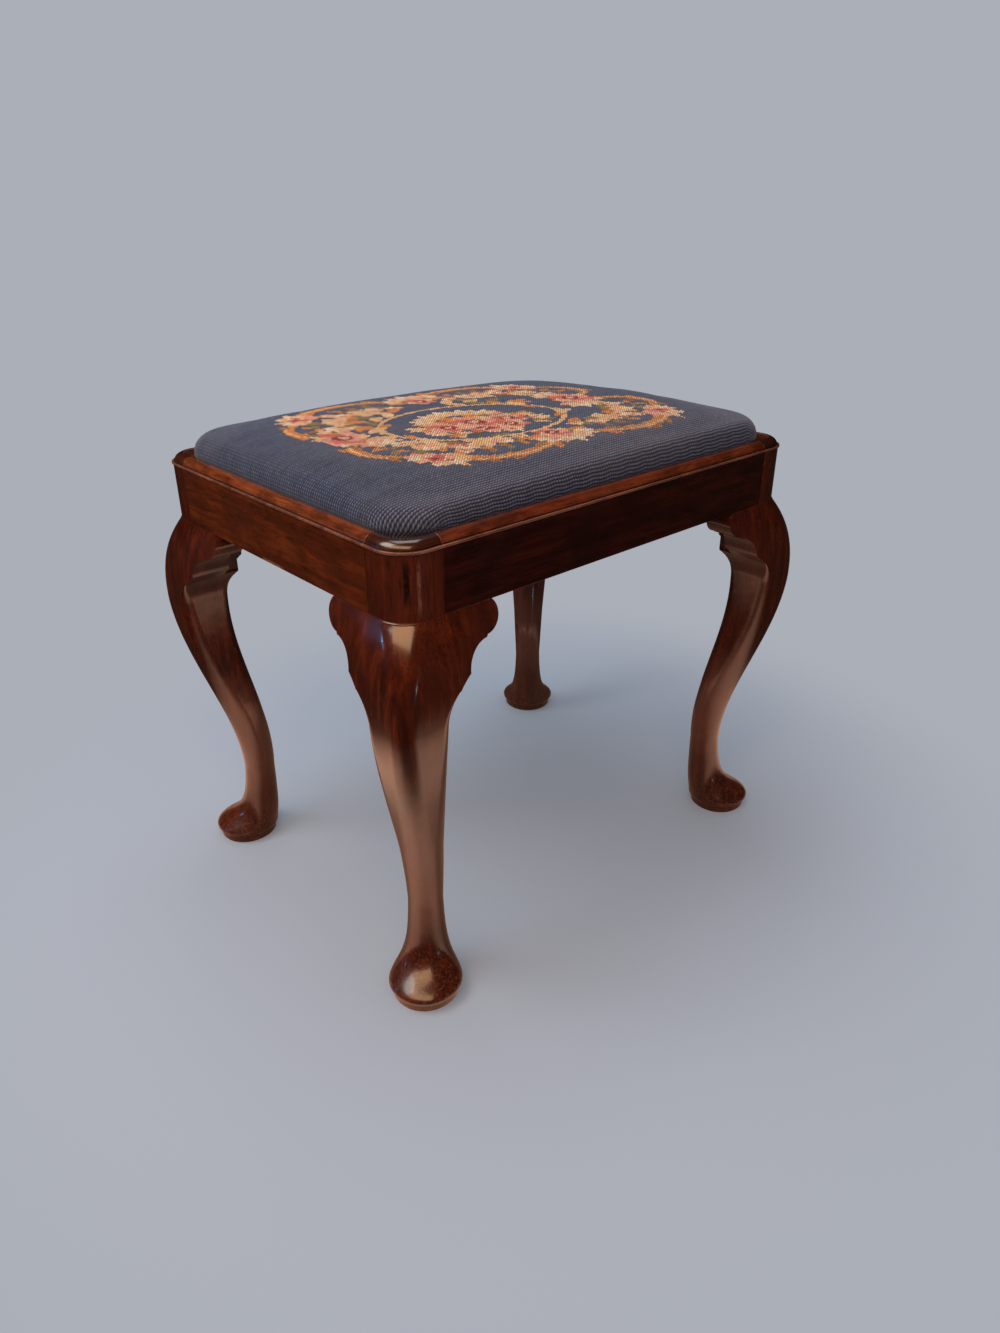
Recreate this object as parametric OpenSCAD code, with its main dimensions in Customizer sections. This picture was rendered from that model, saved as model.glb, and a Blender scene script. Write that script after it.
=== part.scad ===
// Low dressing stool: four cabriole legs with pad feet and shaped ears, a moulded rim,
// and a loose seat that drops into the frame.
// X runs along the width, Y from front to back and Z up. The stool stands on Z = 0.

/* [Frame] */
// Width over the faces of the side rails
frame_w = 500; // [440:5:620]
// Depth over the faces of the front and back rails
frame_d = 382; // [340:2:480]
// Height of the rails' top edge above the floor
rail_top = 440; // [410:5:480]
// Height of a rail
rail_h = 54; // [50:1:66]
// Thickness of a rail
rail_t = 26; // [24:0.5:30]
// Radius of the frame's rounded corners
corner_r = 28; // [22:1:34]
// Width of a leg's post on each face
post_w = 42; // [40:1:48]

/* [Joints] */
// Length of a tenon into a post
tenon_l = 20; // [14:1:22]
// Thickness of a tenon
tenon_t = 8; // [6:0.5:9]
// Height of a tenon
tenon_h = 36; // [28:1:40]
// Distance from a rail's face to the middle of its tenon
tenon_set = 13; // [11:0.5:14]
// Clearance round a glued tenon
glue_gap = 0.1; // [0.05:0.05:0.2]

/* [Legs] */
// How far the knee stands out from the faces of the rails
knee_out = 17; // [10:0.5:20]
// Depth below the rail at which the knee is fullest
knee_drop = 86; // [78:1:100]
// Half the thickness of the knee there
knee_half = 25.5; // [24:0.5:28]
// Height of the ankle, the thinnest part
ankle_z = 90; // [85:1:110]
// Radius of the ankle
ankle_r = 15; // [14:0.5:18]
// Distance of the ankle's middle from the faces of the rails
ankle_in = 38.5; // [34:0.5:42]
// Radius of the pad foot
foot_r = 34.5; // [33:0.5:38]
// Height of the pad foot's widest part
foot_z = 12.5; // [11:0.5:16]
// Distance of the pad foot's middle from the faces of the rails
foot_in = 21; // [18:0.5:26]
// Height over which the foot flares out of the ankle
foot_flare = 17.5; // [15:0.5:21]
// Radius of the flat disc under the pad foot
disc_r = 31; // [28:0.5:31.5]
// Height of that disc
disc_h = 8.5; // [6:0.5:9.5]

/* [Ears] */
// Reach of an ear's nose along the rail, from the frame's corner
ear_reach = 94; // [88:1:110]
// Radius of the nose
nose_r = 15; // [12:0.5:18]
// Depth of the nose's underside below the rail
nose_drop = 25.5; // [22:0.5:28]
// Radius of the cove between the nose and the point
cove_r = 22.5; // [20:0.5:24]
// Step between the nose and the cove
ear_step = 2; // [1:0.5:3]
// Share of the knee's swell that is lost between the post and the nose
ear_fall = 0.5; // [0.3:0.05:0.8]

/* [Rim] */
// Width of the rim moulding
rim_w = 11; // [9:0.5:14]
// Height of the rim moulding
rim_h = 9; // [8:0.5:12]
// How far its lower lip stands out from the rail
lip_out = 1.25; // [0.5:0.25:2]
// Height of the lip
lip_h = 2; // [1:0.2:2.4]
// Width of the groove between the lip and the round
quirk_w = 0.8; // [0.4:0.1:1]
// Width of the flat on top, beside the seat
rim_flat = 1.5; // [1:0.25:2]

/* [Corner blocks] */
// Reach of a corner block along the rails, from the frame's corner
block_reach = 74; // [70:1:82]
// Height of a corner block
block_h = 38; // [30:1:40]
// Distance of its underside above the rails' underside
block_rise = 6; // [4:1:8]
// Radius of a screw's shank
screw_r = 2; // [1.5:0.25:2.5]
// Length of a screw below its head
screw_l = 22; // [18:1:24]
// Radius of a screw's head
head_r = 4; // [3.5:0.25:4.5]
// Height of a screw's head
head_h = 3; // [2.5:0.25:3.5]
// Distance of the screws from the frame's corner
screw_in = 60; // [58:1:62]
// Thickness of the block under a screw's head
screw_seat = 8; // [6:0.5:9]
// Clearance round a screw
screw_gap = 0.1; // [0.1:0.05:0.3]

/* [Seat frame] */
// Gap between the covered seat and the rim
seat_gap = 1.5; // [1:0.25:3]
// Radius of the covered seat's corners
seat_corner_r = 38; // [32:1:44]
// Width of a seat rail
seat_rail_w = 48; // [44:1:56]
// Thickness of a seat rail
seat_rail_h = 14; // [14:0.5:18]
// Length of a seat rail's tenon
seat_tenon_l = 28; // [20:1:34]
// Thickness of a seat rail's tenon
seat_tenon_t = 5; // [4:0.5:6]
// Width of a seat rail's tenon
seat_tenon_w = 30; // [24:1:36]

/* [Webbing] */
// Width of a strip of webbing
web_w = 50; // [44:1:54]
// Thickness of a strip of webbing
web_t = 1.2; // [1:0.1:1.6]
// Distance from the seat frame's edge to the end of a strip
web_edge = 8; // [6:1:12]
// Length of the fold at the end of a strip
web_fold = 22; // [18:1:26]
// Thickness of the hessian over the webbing
hessian_t = 0.8; // [0.6:0.1:1.2]

/* [Cushion] */
// Thickness of the cover
cover_t = 1.4; // [1:0.1:1.8]
// Height of the crown above the seat frame
crown_h = 21; // [16:1:36]
// How far the cushion swells out over the rim
cover_bulge = 2; // [1:0.25:3]
// Height of the cushion's widest part above the rim
wide_rise = 2; // [1.5:0.5:3]
// How far the long sides draw in between the corners
draw_in = 1.2; // [0:0.1:1.5]
// Width of the cover that is turned under the seat frame
flap_w = 26; // [22:1:34]
// Clearance between soft pieces and their neighbours
fit_gap = 0.3; // [0.2:0.05:0.4]

/* [Tacks] */
// Radius of a tack's shank
tack_r = 0.9; // [0.7:0.1:1.1]
// Length of a tack's shank
tack_l = 6; // [5:0.5:7]
// Radius of a tack's head
tack_head_r = 3; // [2:0.25:3.5]
// Thickness of a tack's head
tack_head_t = 0.8; // [0.6:0.1:1]
// Distance of the cover's tacks from the seat's edge
tack_in = 17; // [16:0.5:18]
// Spacing of the cover's tacks
tack_pitch = 45; // [35:1:60]

/* [Hidden] */

mahogany = [0.36, 0.13, 0.06];
dark_mahogany = [0.27, 0.08, 0.05];
rim_mahogany = [0.52, 0.24, 0.10];
beech = [0.72, 0.55, 0.36];
jute = [0.62, 0.50, 0.33];
flax = [0.70, 0.62, 0.45];
horsehair = [0.28, 0.22, 0.17];
needlepoint = [0.24, 0.25, 0.34];
steel = [0.45, 0.43, 0.42];

// The four corners: name, side along X and side along Y.
corners = [
    ["front_left", 0, 0], ["front_right", 1, 0],
    ["back_left", 0, 1], ["back_right", 1, 1]
];
arc_fn = 64;
tack_fn = 20;
eps = 0.01;
web_long = 3;
web_short = 4;

// Heights.
rail_z = rail_top - rail_h;
knee_z = rail_z - knee_drop;
seat_z = rail_top + fit_gap;
seat_frame_z = seat_z + cover_t + fit_gap;
deck_z = seat_frame_z + seat_rail_h;
hessian_z = deck_z + 2 * web_t + tack_head_t + fit_gap;
stuffing_z = hessian_z + hessian_t + fit_gap;
crown_z = deck_z + crown_h;
wide_z = rail_top + rim_h + wide_rise;
block_z = rail_z + block_rise + block_h / 2;
slot_w = 1;

// Plan sizes of the well inside the rim and of the seat that drops into it.
well_w = frame_w - 2 * rim_w;
well_d = frame_d - 2 * rim_w;
seat_w = well_w - 2 * seat_gap;
seat_d = well_d - 2 * seat_gap;
seat_inset = cover_t + 2 * fit_gap;
frame_corner_r = seat_corner_r + 4;
seat_frame_w = seat_w - 2 * seat_inset;
seat_frame_d = seat_d - 2 * seat_inset;
open_w = seat_frame_w - 2 * seat_rail_w;
open_d = seat_frame_d - 2 * seat_rail_w;

// Leg curves. The knee and shank are rounded squares that become round at the ankle.
knee_in = knee_half - knee_out;
neck_in = knee_half + knee_in;
knee_power = 2.7;
taper_power = 1.3;
foot_power = 1.8;
swell_power = 3;
knee_round = 0.59;
side_round = 0.42;
full_round = 0.97;
round_gain = 0.56;
side_gain = 0.8;
crisp_drop = 9;
crisp_r = 1;
corner_steps = 5;
shank_steps = 10;
foot_steps = [0.08, 0.2, 0.35, 0.52, 0.72, 0.95, 1.25, 1.65, 2.2, 3.1];
knee_steps = [0.1, 0.2, 0.28, 0.36, 0.44, 0.54, 0.64, 0.74, 0.83, 0.91, 1];
foot_under_r = disc_r + 1.2;
disc_edge = 0.2;
trim_z = knee_z + 4;

// Ear curves, as distance u from the frame's corner and depth d below the rail.
nose_u = ear_reach - nose_r;
nose_d = nose_drop - nose_r;
cove_u = nose_u - ear_step / 2;
cove_d = nose_drop + ear_step + cove_r;
point_u = cove_u - cove_r;

// Cushion curve: how fast it rises at the edge and how flat it is on top.
dome_edge = 8;
dome_top = 3;
dome_side = 6;
dome_corner = 5;
dome_steps = [1, 0.998, 0.99, 0.97, 0.93, 0.86, 0.74, 0.55, 0.32, 0.08];
oval_power = 0.45;
bulge_share = 0.3;
swell_z = wide_z - wide_rise / 2;
straight_z = rail_top + rim_h - 2;

function ease(t) = (1 - cos(180 * t)) / 2;
function clamp(t) = max(0, min(1, t));

// Share of the way from the knee down to the ankle.
function shank(z) = clamp((knee_z - z) / (knee_z - ankle_z));

// Swell of the pad foot: 1 at its widest part, falling to almost nothing in the ankle and to 0 at the knee.
function foot_swell(z) =
    (1 - pow(clamp((z - foot_z) / (knee_z - foot_z)), swell_power))
    / (1 + pow(max(0, z - foot_z) / foot_flare, foot_power));

function leg_centre(z) =
    knee_in + (ankle_in - knee_in) * ease(shank(z)) - (ankle_in - foot_in) * foot_swell(z);
function leg_half(z) =
    knee_half - (knee_half - ankle_r) * pow(shank(z), taper_power) + (foot_r - ankle_r) * foot_swell(z);

// How far the knee stands out at depth d below the rail.
function knee_swell(d) = knee_out * (1 - pow(clamp(1 - d / knee_drop), knee_power));

// Inner line of the knee and the ears' lower edge, from the point to the neck of the leg.
function neck_line(d) =
    neck_in + (point_u - neck_in) * pow(1 - clamp((d - cove_d) / (knee_drop - cove_d)), knee_power);

function arc(x, y, r, from) = [
    for (i = [0:corner_steps])
        [x + r * cos(from + 90 * i / corner_steps), y + r * sin(from + 90 * i / corner_steps)]
];

// Ring of a rounded square from -out to in, with its own outer, side and inner corners.
function ring(out, in, r_out, r_side, z) = [
    for (p = concat(
        arc(r_out - out, r_out - out, r_out, 180),
        arc(in - r_side, r_side - out, r_side, 270),
        arc(in - r_side, in - r_side, r_side, 0),
        arc(r_side - out, in - r_side, r_side, 90)
    )) [p[0], p[1], z]
];
function round_ring(half, centre, share_out, share_side, z) =
    ring(half - centre, half + centre, half * share_out, half * share_side, z);

function disc_ring(z) = round_ring(disc_r, foot_in, full_round, full_round, z);
function pad_ring(z) =
    let (t = (foot_z - z) / (foot_z - disc_h))
    round_ring(foot_r - (foot_r - foot_under_r) * t * t, foot_in, full_round, full_round, z);
function shank_ring(z) =
    let (t = shank(z))
    round_ring(
        leg_half(z), leg_centre(z),
        min(full_round, knee_round + round_gain * t), min(full_round, side_round + side_gain * t), z
    );
function knee_ring(z) =
    let (
        d = rail_z - z,
        q = 1 - d / knee_drop,
        r_knee = knee_round * knee_half,
        r_side = side_round * knee_half,
        crisp_d = cove_d + crisp_drop,
        low = clamp((d - crisp_d) / (knee_drop - crisp_d))
    )
    ring(
        knee_swell(d), neck_line(d),
        r_knee + (corner_r - r_knee) * q * q, crisp_r + (r_side - crisp_r) * low, z
    );

leg_rings = concat(
    [disc_ring(0), disc_ring(disc_h - disc_edge)],
    [for (t = [1, 0.7, 0.35, 0]) pad_ring(foot_z - (foot_z - disc_h) * t)],
    [for (t = foot_steps) shank_ring(foot_z + t * foot_flare)],
    [for (i = [0:shank_steps]) shank_ring(ankle_z + (knee_z - ankle_z) * i / shank_steps)],
    [for (t = knee_steps) knee_ring(knee_z + knee_drop * t)]
);

// Outline of an ear, from its lower end up to the rail.
ear_tip = post_w + 0.8;
ear_end = cove_d + (knee_drop - cove_d)
    * (1 - pow((ear_tip - neck_in) / (point_u - neck_in), 1 / knee_power));
nose_from = asin(nose_d / nose_r);
ear_steps = 4;
cove_steps = 6;
nose_steps = 8;
ear_outline = concat(
    [for (i = [0:ear_steps - 1]) let (d = ear_end + (cove_d - ear_end) * i / ear_steps)
        [neck_line(d), d]],
    [for (i = [0:cove_steps]) let (a = 90 * i / cove_steps)
        [cove_u - cove_r * cos(a), cove_d - cove_r * sin(a)]],
    [for (i = [0:nose_steps]) let (a = 90 - (90 + nose_from) * i / nose_steps)
        [nose_u + nose_r * cos(a), max(0, nose_d + nose_r * sin(a))]]
);
function ear_front(u, d) = -knee_swell(d) * (1 - ear_fall * (u - post_w) / (ear_reach - post_w));
function ear_ring(u, d) = concat(
    [[post_w, rail_t, rail_z - d]],
    [for (i = [0:ear_steps]) let (x = post_w + (u - post_w) * i / ear_steps) [x, ear_front(x, d), rail_z - d]],
    [[u, rail_t, rail_z - d]]
);

// Height of the cushion's top above its widest part, from 0 at the edge to 1 in the middle.
function dome(s) = pow(1 - pow(s, dome_edge), 1 / dome_top);
function dome_at(height) = pow(1 - pow(height, dome_top), 1 / dome_edge);

// Points round a rounded rectangle, with the middles of its sides drawn in.
function seat_outline(w, d, r, draw) = concat(
    seat_side(w / 2 - r, d / 2, draw, 0),
    seat_arc(w / 2 - r, d / 2 - r, r, 0),
    seat_side(d / 2 - r, w / 2, draw, 90),
    seat_arc(d / 2 - r, w / 2 - r, r, 90),
    seat_side(w / 2 - r, d / 2, draw, 180),
    seat_arc(w / 2 - r, d / 2 - r, r, 180),
    seat_side(d / 2 - r, w / 2, draw, 270),
    seat_arc(d / 2 - r, w / 2 - r, r, 270)
);
function turned(p, a) = [p[0] * cos(a) - p[1] * sin(a), p[0] * sin(a) + p[1] * cos(a)];
function seat_side(run, reach, draw, a) = [
    for (i = [1:dome_side - 1])
        let (t = 2 * i / dome_side - 1) turned([run * t, draw * (1 - t * t) - reach], a)
];
function seat_arc(run, reach, r, a) = [
    for (i = [0:dome_corner])
        let (b = 90 * i / dome_corner) turned([run + r * sin(b), -reach - r * cos(b)], a)
];

// One ring of the cushion, inset by e from the cover's face and shrunk to the share s.
// Towards the middle the rounded rectangle turns into an ellipse.
function seat_ring(e, s, z, draw) =
    let (
        w = seat_w + 2 * cover_bulge - 2 * e,
        d = seat_d + 2 * cover_bulge - 2 * e,
        outline = seat_outline(w, d, seat_corner_r + cover_bulge - e, draw),
        oval = pow(1 - s, oval_power)
    )
    [for (p = outline)
        let (n = norm([p[0] / w, p[1] / d]) * 2)
        [s * p[0] * (1 - oval + oval / n), s * p[1] * (1 - oval + oval / n), z]];
function dome_rings(e, from) = [
    for (s = dome_steps)
        let (k = s * from) seat_ring(e, k, wide_z + (crown_z - e - wide_z) * dome(k), draw_in)
];

// Layout of webbing and tacks.
web_long_y = [for (i = [0:web_long - 1]) open_d * ((i + 0.5) / web_long - 0.5)];
web_short_x = [for (i = [0:web_short - 1]) open_w * ((i + 0.5) / web_short - 0.5)];
web_clear = 4;
web_long_l = seat_frame_w - 2 * web_edge;
web_short_l = seat_frame_d - 2 * web_edge;
web_tack_across = web_w / 3;
web_tack_x = web_long_l / 2 - web_fold / 2;
web_tack_y = web_short_l / 2 - web_fold / 2;
web_tack_spots = concat(
    [for (y = web_long_y, k = [-1:1], s = [-1, 1]) [s * web_tack_x, y + k * web_tack_across]],
    [for (x = web_short_x, k = [-1:1], s = [-1, 1]) [x + k * web_tack_across, s * web_tack_y]]
);
tack_corner = post_w + 2 * tack_head_r + 2;
tack_row_x = frame_w / 2 - tack_corner;
tack_row_y = frame_d / 2 - tack_corner;
tack_n_x = floor(tack_row_x / tack_pitch);
tack_n_y = floor(tack_row_y / tack_pitch);
cover_tack_x = seat_w / 2 - tack_in;
cover_tack_y = seat_d / 2 - tack_in;
cover_tack_spots = concat(
    [for (i = [-tack_n_x:tack_n_x], s = [-1, 1]) [i * tack_pitch, s * cover_tack_y]],
    [for (i = [-tack_n_y:tack_n_y], s = [-1, 1]) [s * cover_tack_x, i * tack_pitch]]
);

// General helpers.
module loft(rings) {
    n = len(rings[0]);
    last = len(rings) - 1;
    polyhedron(
        points = [for (r = rings, p = r) p],
        faces = concat(
            [for (i = [1:n - 2]) [0, i, i + 1]],
            [for (i = [1:n - 2]) [last * n, last * n + i + 1, last * n + i]],
            [for (k = [0:last - 1], i = [0:n - 1])
                let (j = (i + 1) % n) [k * n + i, (k + 1) * n + i, (k + 1) * n + j]],
            [for (k = [0:last - 1], i = [0:n - 1])
                let (j = (i + 1) % n) [k * n + i, (k + 1) * n + j, k * n + j]]
        )
    );
}
module at_corner(c) {
    mirror([c[1], 0, 0])
        mirror([0, c[2], 0])
            translate([-frame_w / 2, -frame_d / 2, 0])
                children();
}
module swap_xy() {
    mirror([1, -1, 0])
        children();
}
module box(from, to) {
    translate(from)
        cube(to - from);
}
module rounded(w, d, r) {
    square([w, d - 2 * r], center = true);
    square([w - 2 * r, d], center = true);
    for (x = [-1, 1], y = [-1, 1])
        translate([x * (w / 2 - r), y * (d / 2 - r)])
            circle(r = r, $fn = arc_fn);
}

// Legs, each drawn from the frame's corner with both rails running to +X and +Y.
module leg() {
    color(mahogany) {
        shaped_leg();
        post();
    }
}
module shaped_leg() {
    difference() {
        loft(leg_rings);
        box([post_w, -knee_out - 1, trim_z], [ear_reach, ear_reach, rail_z + 1]);
        box([-knee_out - 1, post_w, trim_z], [ear_reach, ear_reach, rail_z + 1]);
    }
}
module post() {
    difference() {
        translate([0, 0, rail_z])
            linear_extrude(rail_h)
                intersection() {
                    square(post_w);
                    union() {
                        translate([corner_r, corner_r])
                            circle(r = corner_r, $fn = arc_fn);
                        translate([corner_r, 0])
                            square(post_w);
                        translate([0, corner_r])
                            square(post_w);
                    }
                }
        mortise();
        swap_xy()
            mortise();
    }
}
module mortise() {
    half = tenon_t / 2 + glue_gap;
    low = rail_z + (rail_h - tenon_h) / 2 - glue_gap;
    box(
        [post_w - tenon_l - 4 * glue_gap, tenon_set - half, low],
        [post_w + 1, tenon_set + half, low + tenon_h + 2 * glue_gap]
    );
}

// Frame rails, drawn with the face at Y = 0 and the inside towards +Y.
module rail(length) {
    color(dark_mahogany)
        difference() {
            union() {
                box([-length / 2, 0, rail_z], [length / 2, rail_t, rail_top]);
                box(
                    [-length / 2 - tenon_l, tenon_set - tenon_t / 2, rail_z + (rail_h - tenon_h) / 2],
                    [length / 2 + tenon_l, tenon_set + tenon_t / 2, rail_z + (rail_h + tenon_h) / 2]
                );
            }
            for (s = [-1, 1])
                translate([s * (length / 2 + post_w - screw_in), 0, block_z])
                    screw_hole();
        }
}
module along_x(side) {
    mirror([0, side, 0])
        translate([0, -frame_d / 2, 0])
            children();
}
module along_y(side) {
    mirror([side, 0, 0])
        translate([-frame_w / 2, 0, 0])
            swap_xy()
                children();
}

// Ears, drawn on the rail that runs along X from the frame's corner.
module ear() {
    color(mahogany)
        loft([for (p = ear_outline) ear_ring(p[0], p[1])]);
}

// Rim moulding, a rounded thumb over a thin lip.
module rim_section() {
    round_r = rim_w - rim_flat - quirk_w;
    translate([-lip_out, 0])
        square([rim_w + lip_out, lip_h]);
    translate([rim_w - rim_flat, 0])
        square([rim_flat, rim_h]);
    intersection() {
        translate([rim_w - rim_flat, rim_h - round_r])
            circle(r = round_r, $fn = arc_fn);
        translate([quirk_w, 0])
            square([round_r, rim_h]);
    }
}
module rim_run(length) {
    rotate([90, 0, 90])
        linear_extrude(length)
            rim_section();
}
module rim_side(length) {
    color(rim_mahogany)
        translate([-length / 2, 0, rail_top])
            rim_run(length);
}
module rim_corner() {
    past = rim_w + lip_out;
    color(rim_mahogany)
        translate([0, 0, rail_top]) {
            intersection() {
                rim_run(post_w);
                box([corner_r, -past, -1], [post_w, past, rim_h + 1]);
            }
            intersection() {
                translate([corner_r, corner_r, 0])
                    rotate([0, 0, 180])
                        rotate_extrude(angle = 90, $fn = arc_fn)
                            translate([corner_r, 0])
                                mirror([1, 0])
                                    rim_section();
                linear_extrude(rim_h + 1)
                    polygon([[corner_r, corner_r], [-past, -past], [corner_r, -past]]);
            }
        }
}

// Corner blocks and their screws.
module corner_block() {
    color(beech)
        difference() {
            translate([0, 0, rail_z + block_rise])
                linear_extrude(block_h)
                    polygon([
                        [rail_t, post_w], [post_w, post_w], [post_w, rail_t],
                        [block_reach, rail_t], [rail_t, block_reach]
                    ]);
            at_screws()
                screw_hole();
        }
}
module at_screws() {
    translate([screw_in, 0, block_z])
        children();
    swap_xy()
        translate([screw_in, 0, block_z])
            children();
}
module screw_hole() {
    tip = rail_t + screw_seat - screw_l;
    translate([0, tip - 1, 0])
        rotate([-90, 0, 0])
            cylinder(r = screw_r + screw_gap, h = screw_l + 2, $fn = arc_fn);
    translate([0, rail_t + screw_seat, 0])
        rotate([-90, 0, 0])
            cylinder(r = head_r + 3 * screw_gap, h = block_reach, $fn = arc_fn);
}
module screw() {
    color(steel)
        translate([0, rail_t + screw_seat, 0])
            rotate([-90, 0, 0])
                difference() {
                    union() {
                        cylinder(r = head_r, h = head_h, $fn = arc_fn);
                        translate([0, 0, -screw_l])
                            cylinder(r = screw_r, h = screw_l + eps, $fn = arc_fn);
                    }
                    box([-head_r - 1, -slot_w / 2, head_h - slot_w], [head_r + 1, slot_w / 2, head_h + 1]);
                }
}
module corner_block_screws() {
    for (c = corners)
        at_corner(c)
            at_screws()
                screw();
}

// Seat frame. The front and back rails run the full width and take the side rails' tenons.
module seat_blank() {
    translate([0, 0, seat_frame_z])
        linear_extrude(seat_rail_h)
            rounded(seat_frame_w, seat_frame_d, frame_corner_r);
}
module seat_rail_long(side) {
    y_in = seat_frame_d / 2 - seat_rail_w;
    color(beech)
        mirror([0, side, 0])
            difference() {
                intersection() {
                    seat_blank();
                    box([-frame_w, -frame_d, 0], [frame_w, -y_in, crown_z]);
                }
                for (s = [0, 1])
                    mirror([s, 0, 0])
                        seat_tenon(glue_gap);
                tack_holes([for (p = web_tack_spots) if (p[1] < -y_in) p], deck_z - tack_l, deck_z + 1);
                tack_holes([for (p = cover_tack_spots) if (p[1] < -y_in) p],
                    seat_frame_z - 1, seat_z + tack_l);
            }
}
module seat_rail_short(side) {
    y_in = seat_frame_d / 2 - seat_rail_w;
    x_in = seat_frame_w / 2 - seat_rail_w;
    color(beech)
        mirror([side, 0, 0])
            difference() {
                union() {
                    box([-seat_frame_w / 2, -y_in, seat_frame_z], [-x_in, y_in, deck_z]);
                    for (s = [0, 1])
                        mirror([0, s, 0])
                            mirror([1, 0, 0])
                                seat_tenon(0);
                }
                tack_holes([for (p = web_tack_spots) if (p[0] < -x_in) p], deck_z - tack_l, deck_z + 1);
                tack_holes([for (p = cover_tack_spots) if (p[0] < -x_in) p],
                    seat_frame_z - 1, seat_z + tack_l);
            }
}
module seat_tenon(gap) {
    x_mid = seat_frame_w / 2 - seat_rail_w / 2;
    y_in = seat_frame_d / 2 - seat_rail_w;
    z_mid = seat_frame_z + seat_rail_h / 2;
    box(
        [x_mid - seat_tenon_w / 2 - gap, -y_in - seat_tenon_l - 4 * gap, z_mid - seat_tenon_t / 2 - gap],
        [x_mid + seat_tenon_w / 2 + gap, -y_in + 1, z_mid + seat_tenon_t / 2 + gap]
    );
}
module tack_holes(spots, from, to) {
    for (p = spots)
        translate([p[0], p[1], from])
            cylinder(r = tack_r + fit_gap / 3, h = to - from, $fn = tack_fn);
}

// Webbing strips pass over and under each other. Each is drawn along X, with its ends folded double.
module webbing(length, crossings, odd) {
    up = web_t + fit_gap;
    side = web_w / 2 + web_clear;
    land = length / 2 - web_fold;
    under = concat(
        [[-length / 2, 0], [-land, 0]],
        [for (i = [0:len(crossings) - 1], s = [-1, 1])
            [crossings[i] + s * side, (i + odd) % 2 == 0 ? up : 0]],
        [[land, 0], [length / 2, 0]]
    );
    last = len(under) - 1;
    over = concat(
        [[length / 2, 2 * web_t], [land, 2 * web_t]],
        [for (i = [last - 1:-1:1]) under[i] + [0, web_t]],
        [[-land, 2 * web_t], [-length / 2, 2 * web_t]]
    );
    translate([0, web_w / 2, deck_z])
        rotate([90, 0, 0])
            linear_extrude(web_w)
                polygon(concat(under, over));
}
module webbing_long(i) {
    color(jute)
        difference() {
            translate([0, web_long_y[i], 0])
                webbing(web_long_l, web_short_x, i);
            tack_holes([for (p = web_tack_spots) if (abs(p[0]) == web_tack_x) p], deck_z - 1, hessian_z);
        }
}
module webbing_short(i) {
    color(jute)
        difference() {
            translate([web_short_x[i], 0, 0])
                rotate([0, 0, 90])
                    webbing(web_short_l, web_long_y, i + 1);
            tack_holes([for (p = web_tack_spots) if (abs(p[1]) == web_tack_y) p], deck_z - 1, hessian_z);
        }
}
module hessian() {
    color(flax)
        translate([0, 0, hessian_z])
            linear_extrude(hessian_t)
                rounded(
                    seat_frame_w - 2 * web_edge, seat_frame_d - 2 * web_edge,
                    frame_corner_r - web_edge
                );
}

// Stuffing and cover.
module stuffing() {
    e = cover_t + 3 * fit_gap;
    from = dome_at((stuffing_z - wide_z) / (crown_z - e - wide_z));
    color(horsehair)
        loft(dome_rings(e, from));
}
module cover() {
    last = len(dome_steps) - 1;
    wall = cover_bulge + cover_t;
    inner = dome_rings(cover_t, 1);
    color(needlepoint) {
        loft(concat(
            [for (i = [last:-1:0]) inner[i]],
            [seat_ring(cover_bulge * bulge_share + cover_t, 1, swell_z, draw_in)],
            [seat_ring(wall, 1, straight_z, 0), seat_ring(wall, 1, seat_z, 0)],
            [seat_ring(cover_bulge, 1, seat_z, 0), seat_ring(cover_bulge, 1, straight_z, 0)],
            [seat_ring(cover_bulge * bulge_share, 1, swell_z, draw_in)],
            dome_rings(0, 1)
        ));
        flap();
    }
}
module flap() {
    lap = 2 * flap_w;
    difference() {
        translate([0, 0, seat_z])
            linear_extrude(cover_t)
                difference() {
                    rounded(seat_w - cover_t, seat_d - cover_t, seat_corner_r - cover_t / 2);
                    rounded(seat_w - lap, seat_d - lap, max(2, seat_corner_r - flap_w));
                }
        tack_holes(cover_tack_spots, seat_z - 1, seat_z + cover_t + 1);
    }
}
module tack() {
    cylinder(r = tack_r, h = tack_l, $fn = tack_fn);
    translate([0, 0, -tack_head_t])
        cylinder(r = tack_head_r, h = tack_head_t, $fn = tack_fn);
}
module webbing_tacks() {
    color(steel)
        for (p = web_tack_spots)
            translate([p[0], p[1], deck_z + 2 * web_t])
                mirror([0, 0, 1])
                    tack();
}
module cover_tacks() {
    color(steel)
        for (p = cover_tack_spots)
            translate([p[0], p[1], seat_z])
                tack();
}

// Every node, drawn on request.
for (c = corners) {
    at_corner(c) leg();
    at_corner(c) ear();
    at_corner(c) rim_corner();
    at_corner(c) swap_xy() rim_corner();
    at_corner(c) corner_block();
}
at_corner(corners[0]) swap_xy() ear();  // ear_left_front
at_corner(corners[1]) swap_xy() ear();  // ear_right_front
at_corner(corners[2]) swap_xy() ear();  // ear_left_back
at_corner(corners[3]) swap_xy() ear();  // ear_right_back
along_x(0) rail(frame_w - 2 * post_w);  // rail_front
along_x(1) rail(frame_w - 2 * post_w);  // rail_back
along_y(0) rail(frame_d - 2 * post_w);  // rail_left
along_y(1) rail(frame_d - 2 * post_w);  // rail_right
along_x(0) rim_side(frame_w - 2 * post_w);  // rim_front
along_x(1) rim_side(frame_w - 2 * post_w);  // rim_back
along_y(0) rim_side(frame_d - 2 * post_w);  // rim_left
along_y(1) rim_side(frame_d - 2 * post_w);  // rim_right
corner_block_screws();
seat_rail_long(0);  // seat_rail_front
seat_rail_long(1);  // seat_rail_back
seat_rail_short(0);  // seat_rail_left
seat_rail_short(1);  // seat_rail_right
for (i = [0:web_long - 1]) {
    webbing_long(i);
}
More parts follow.
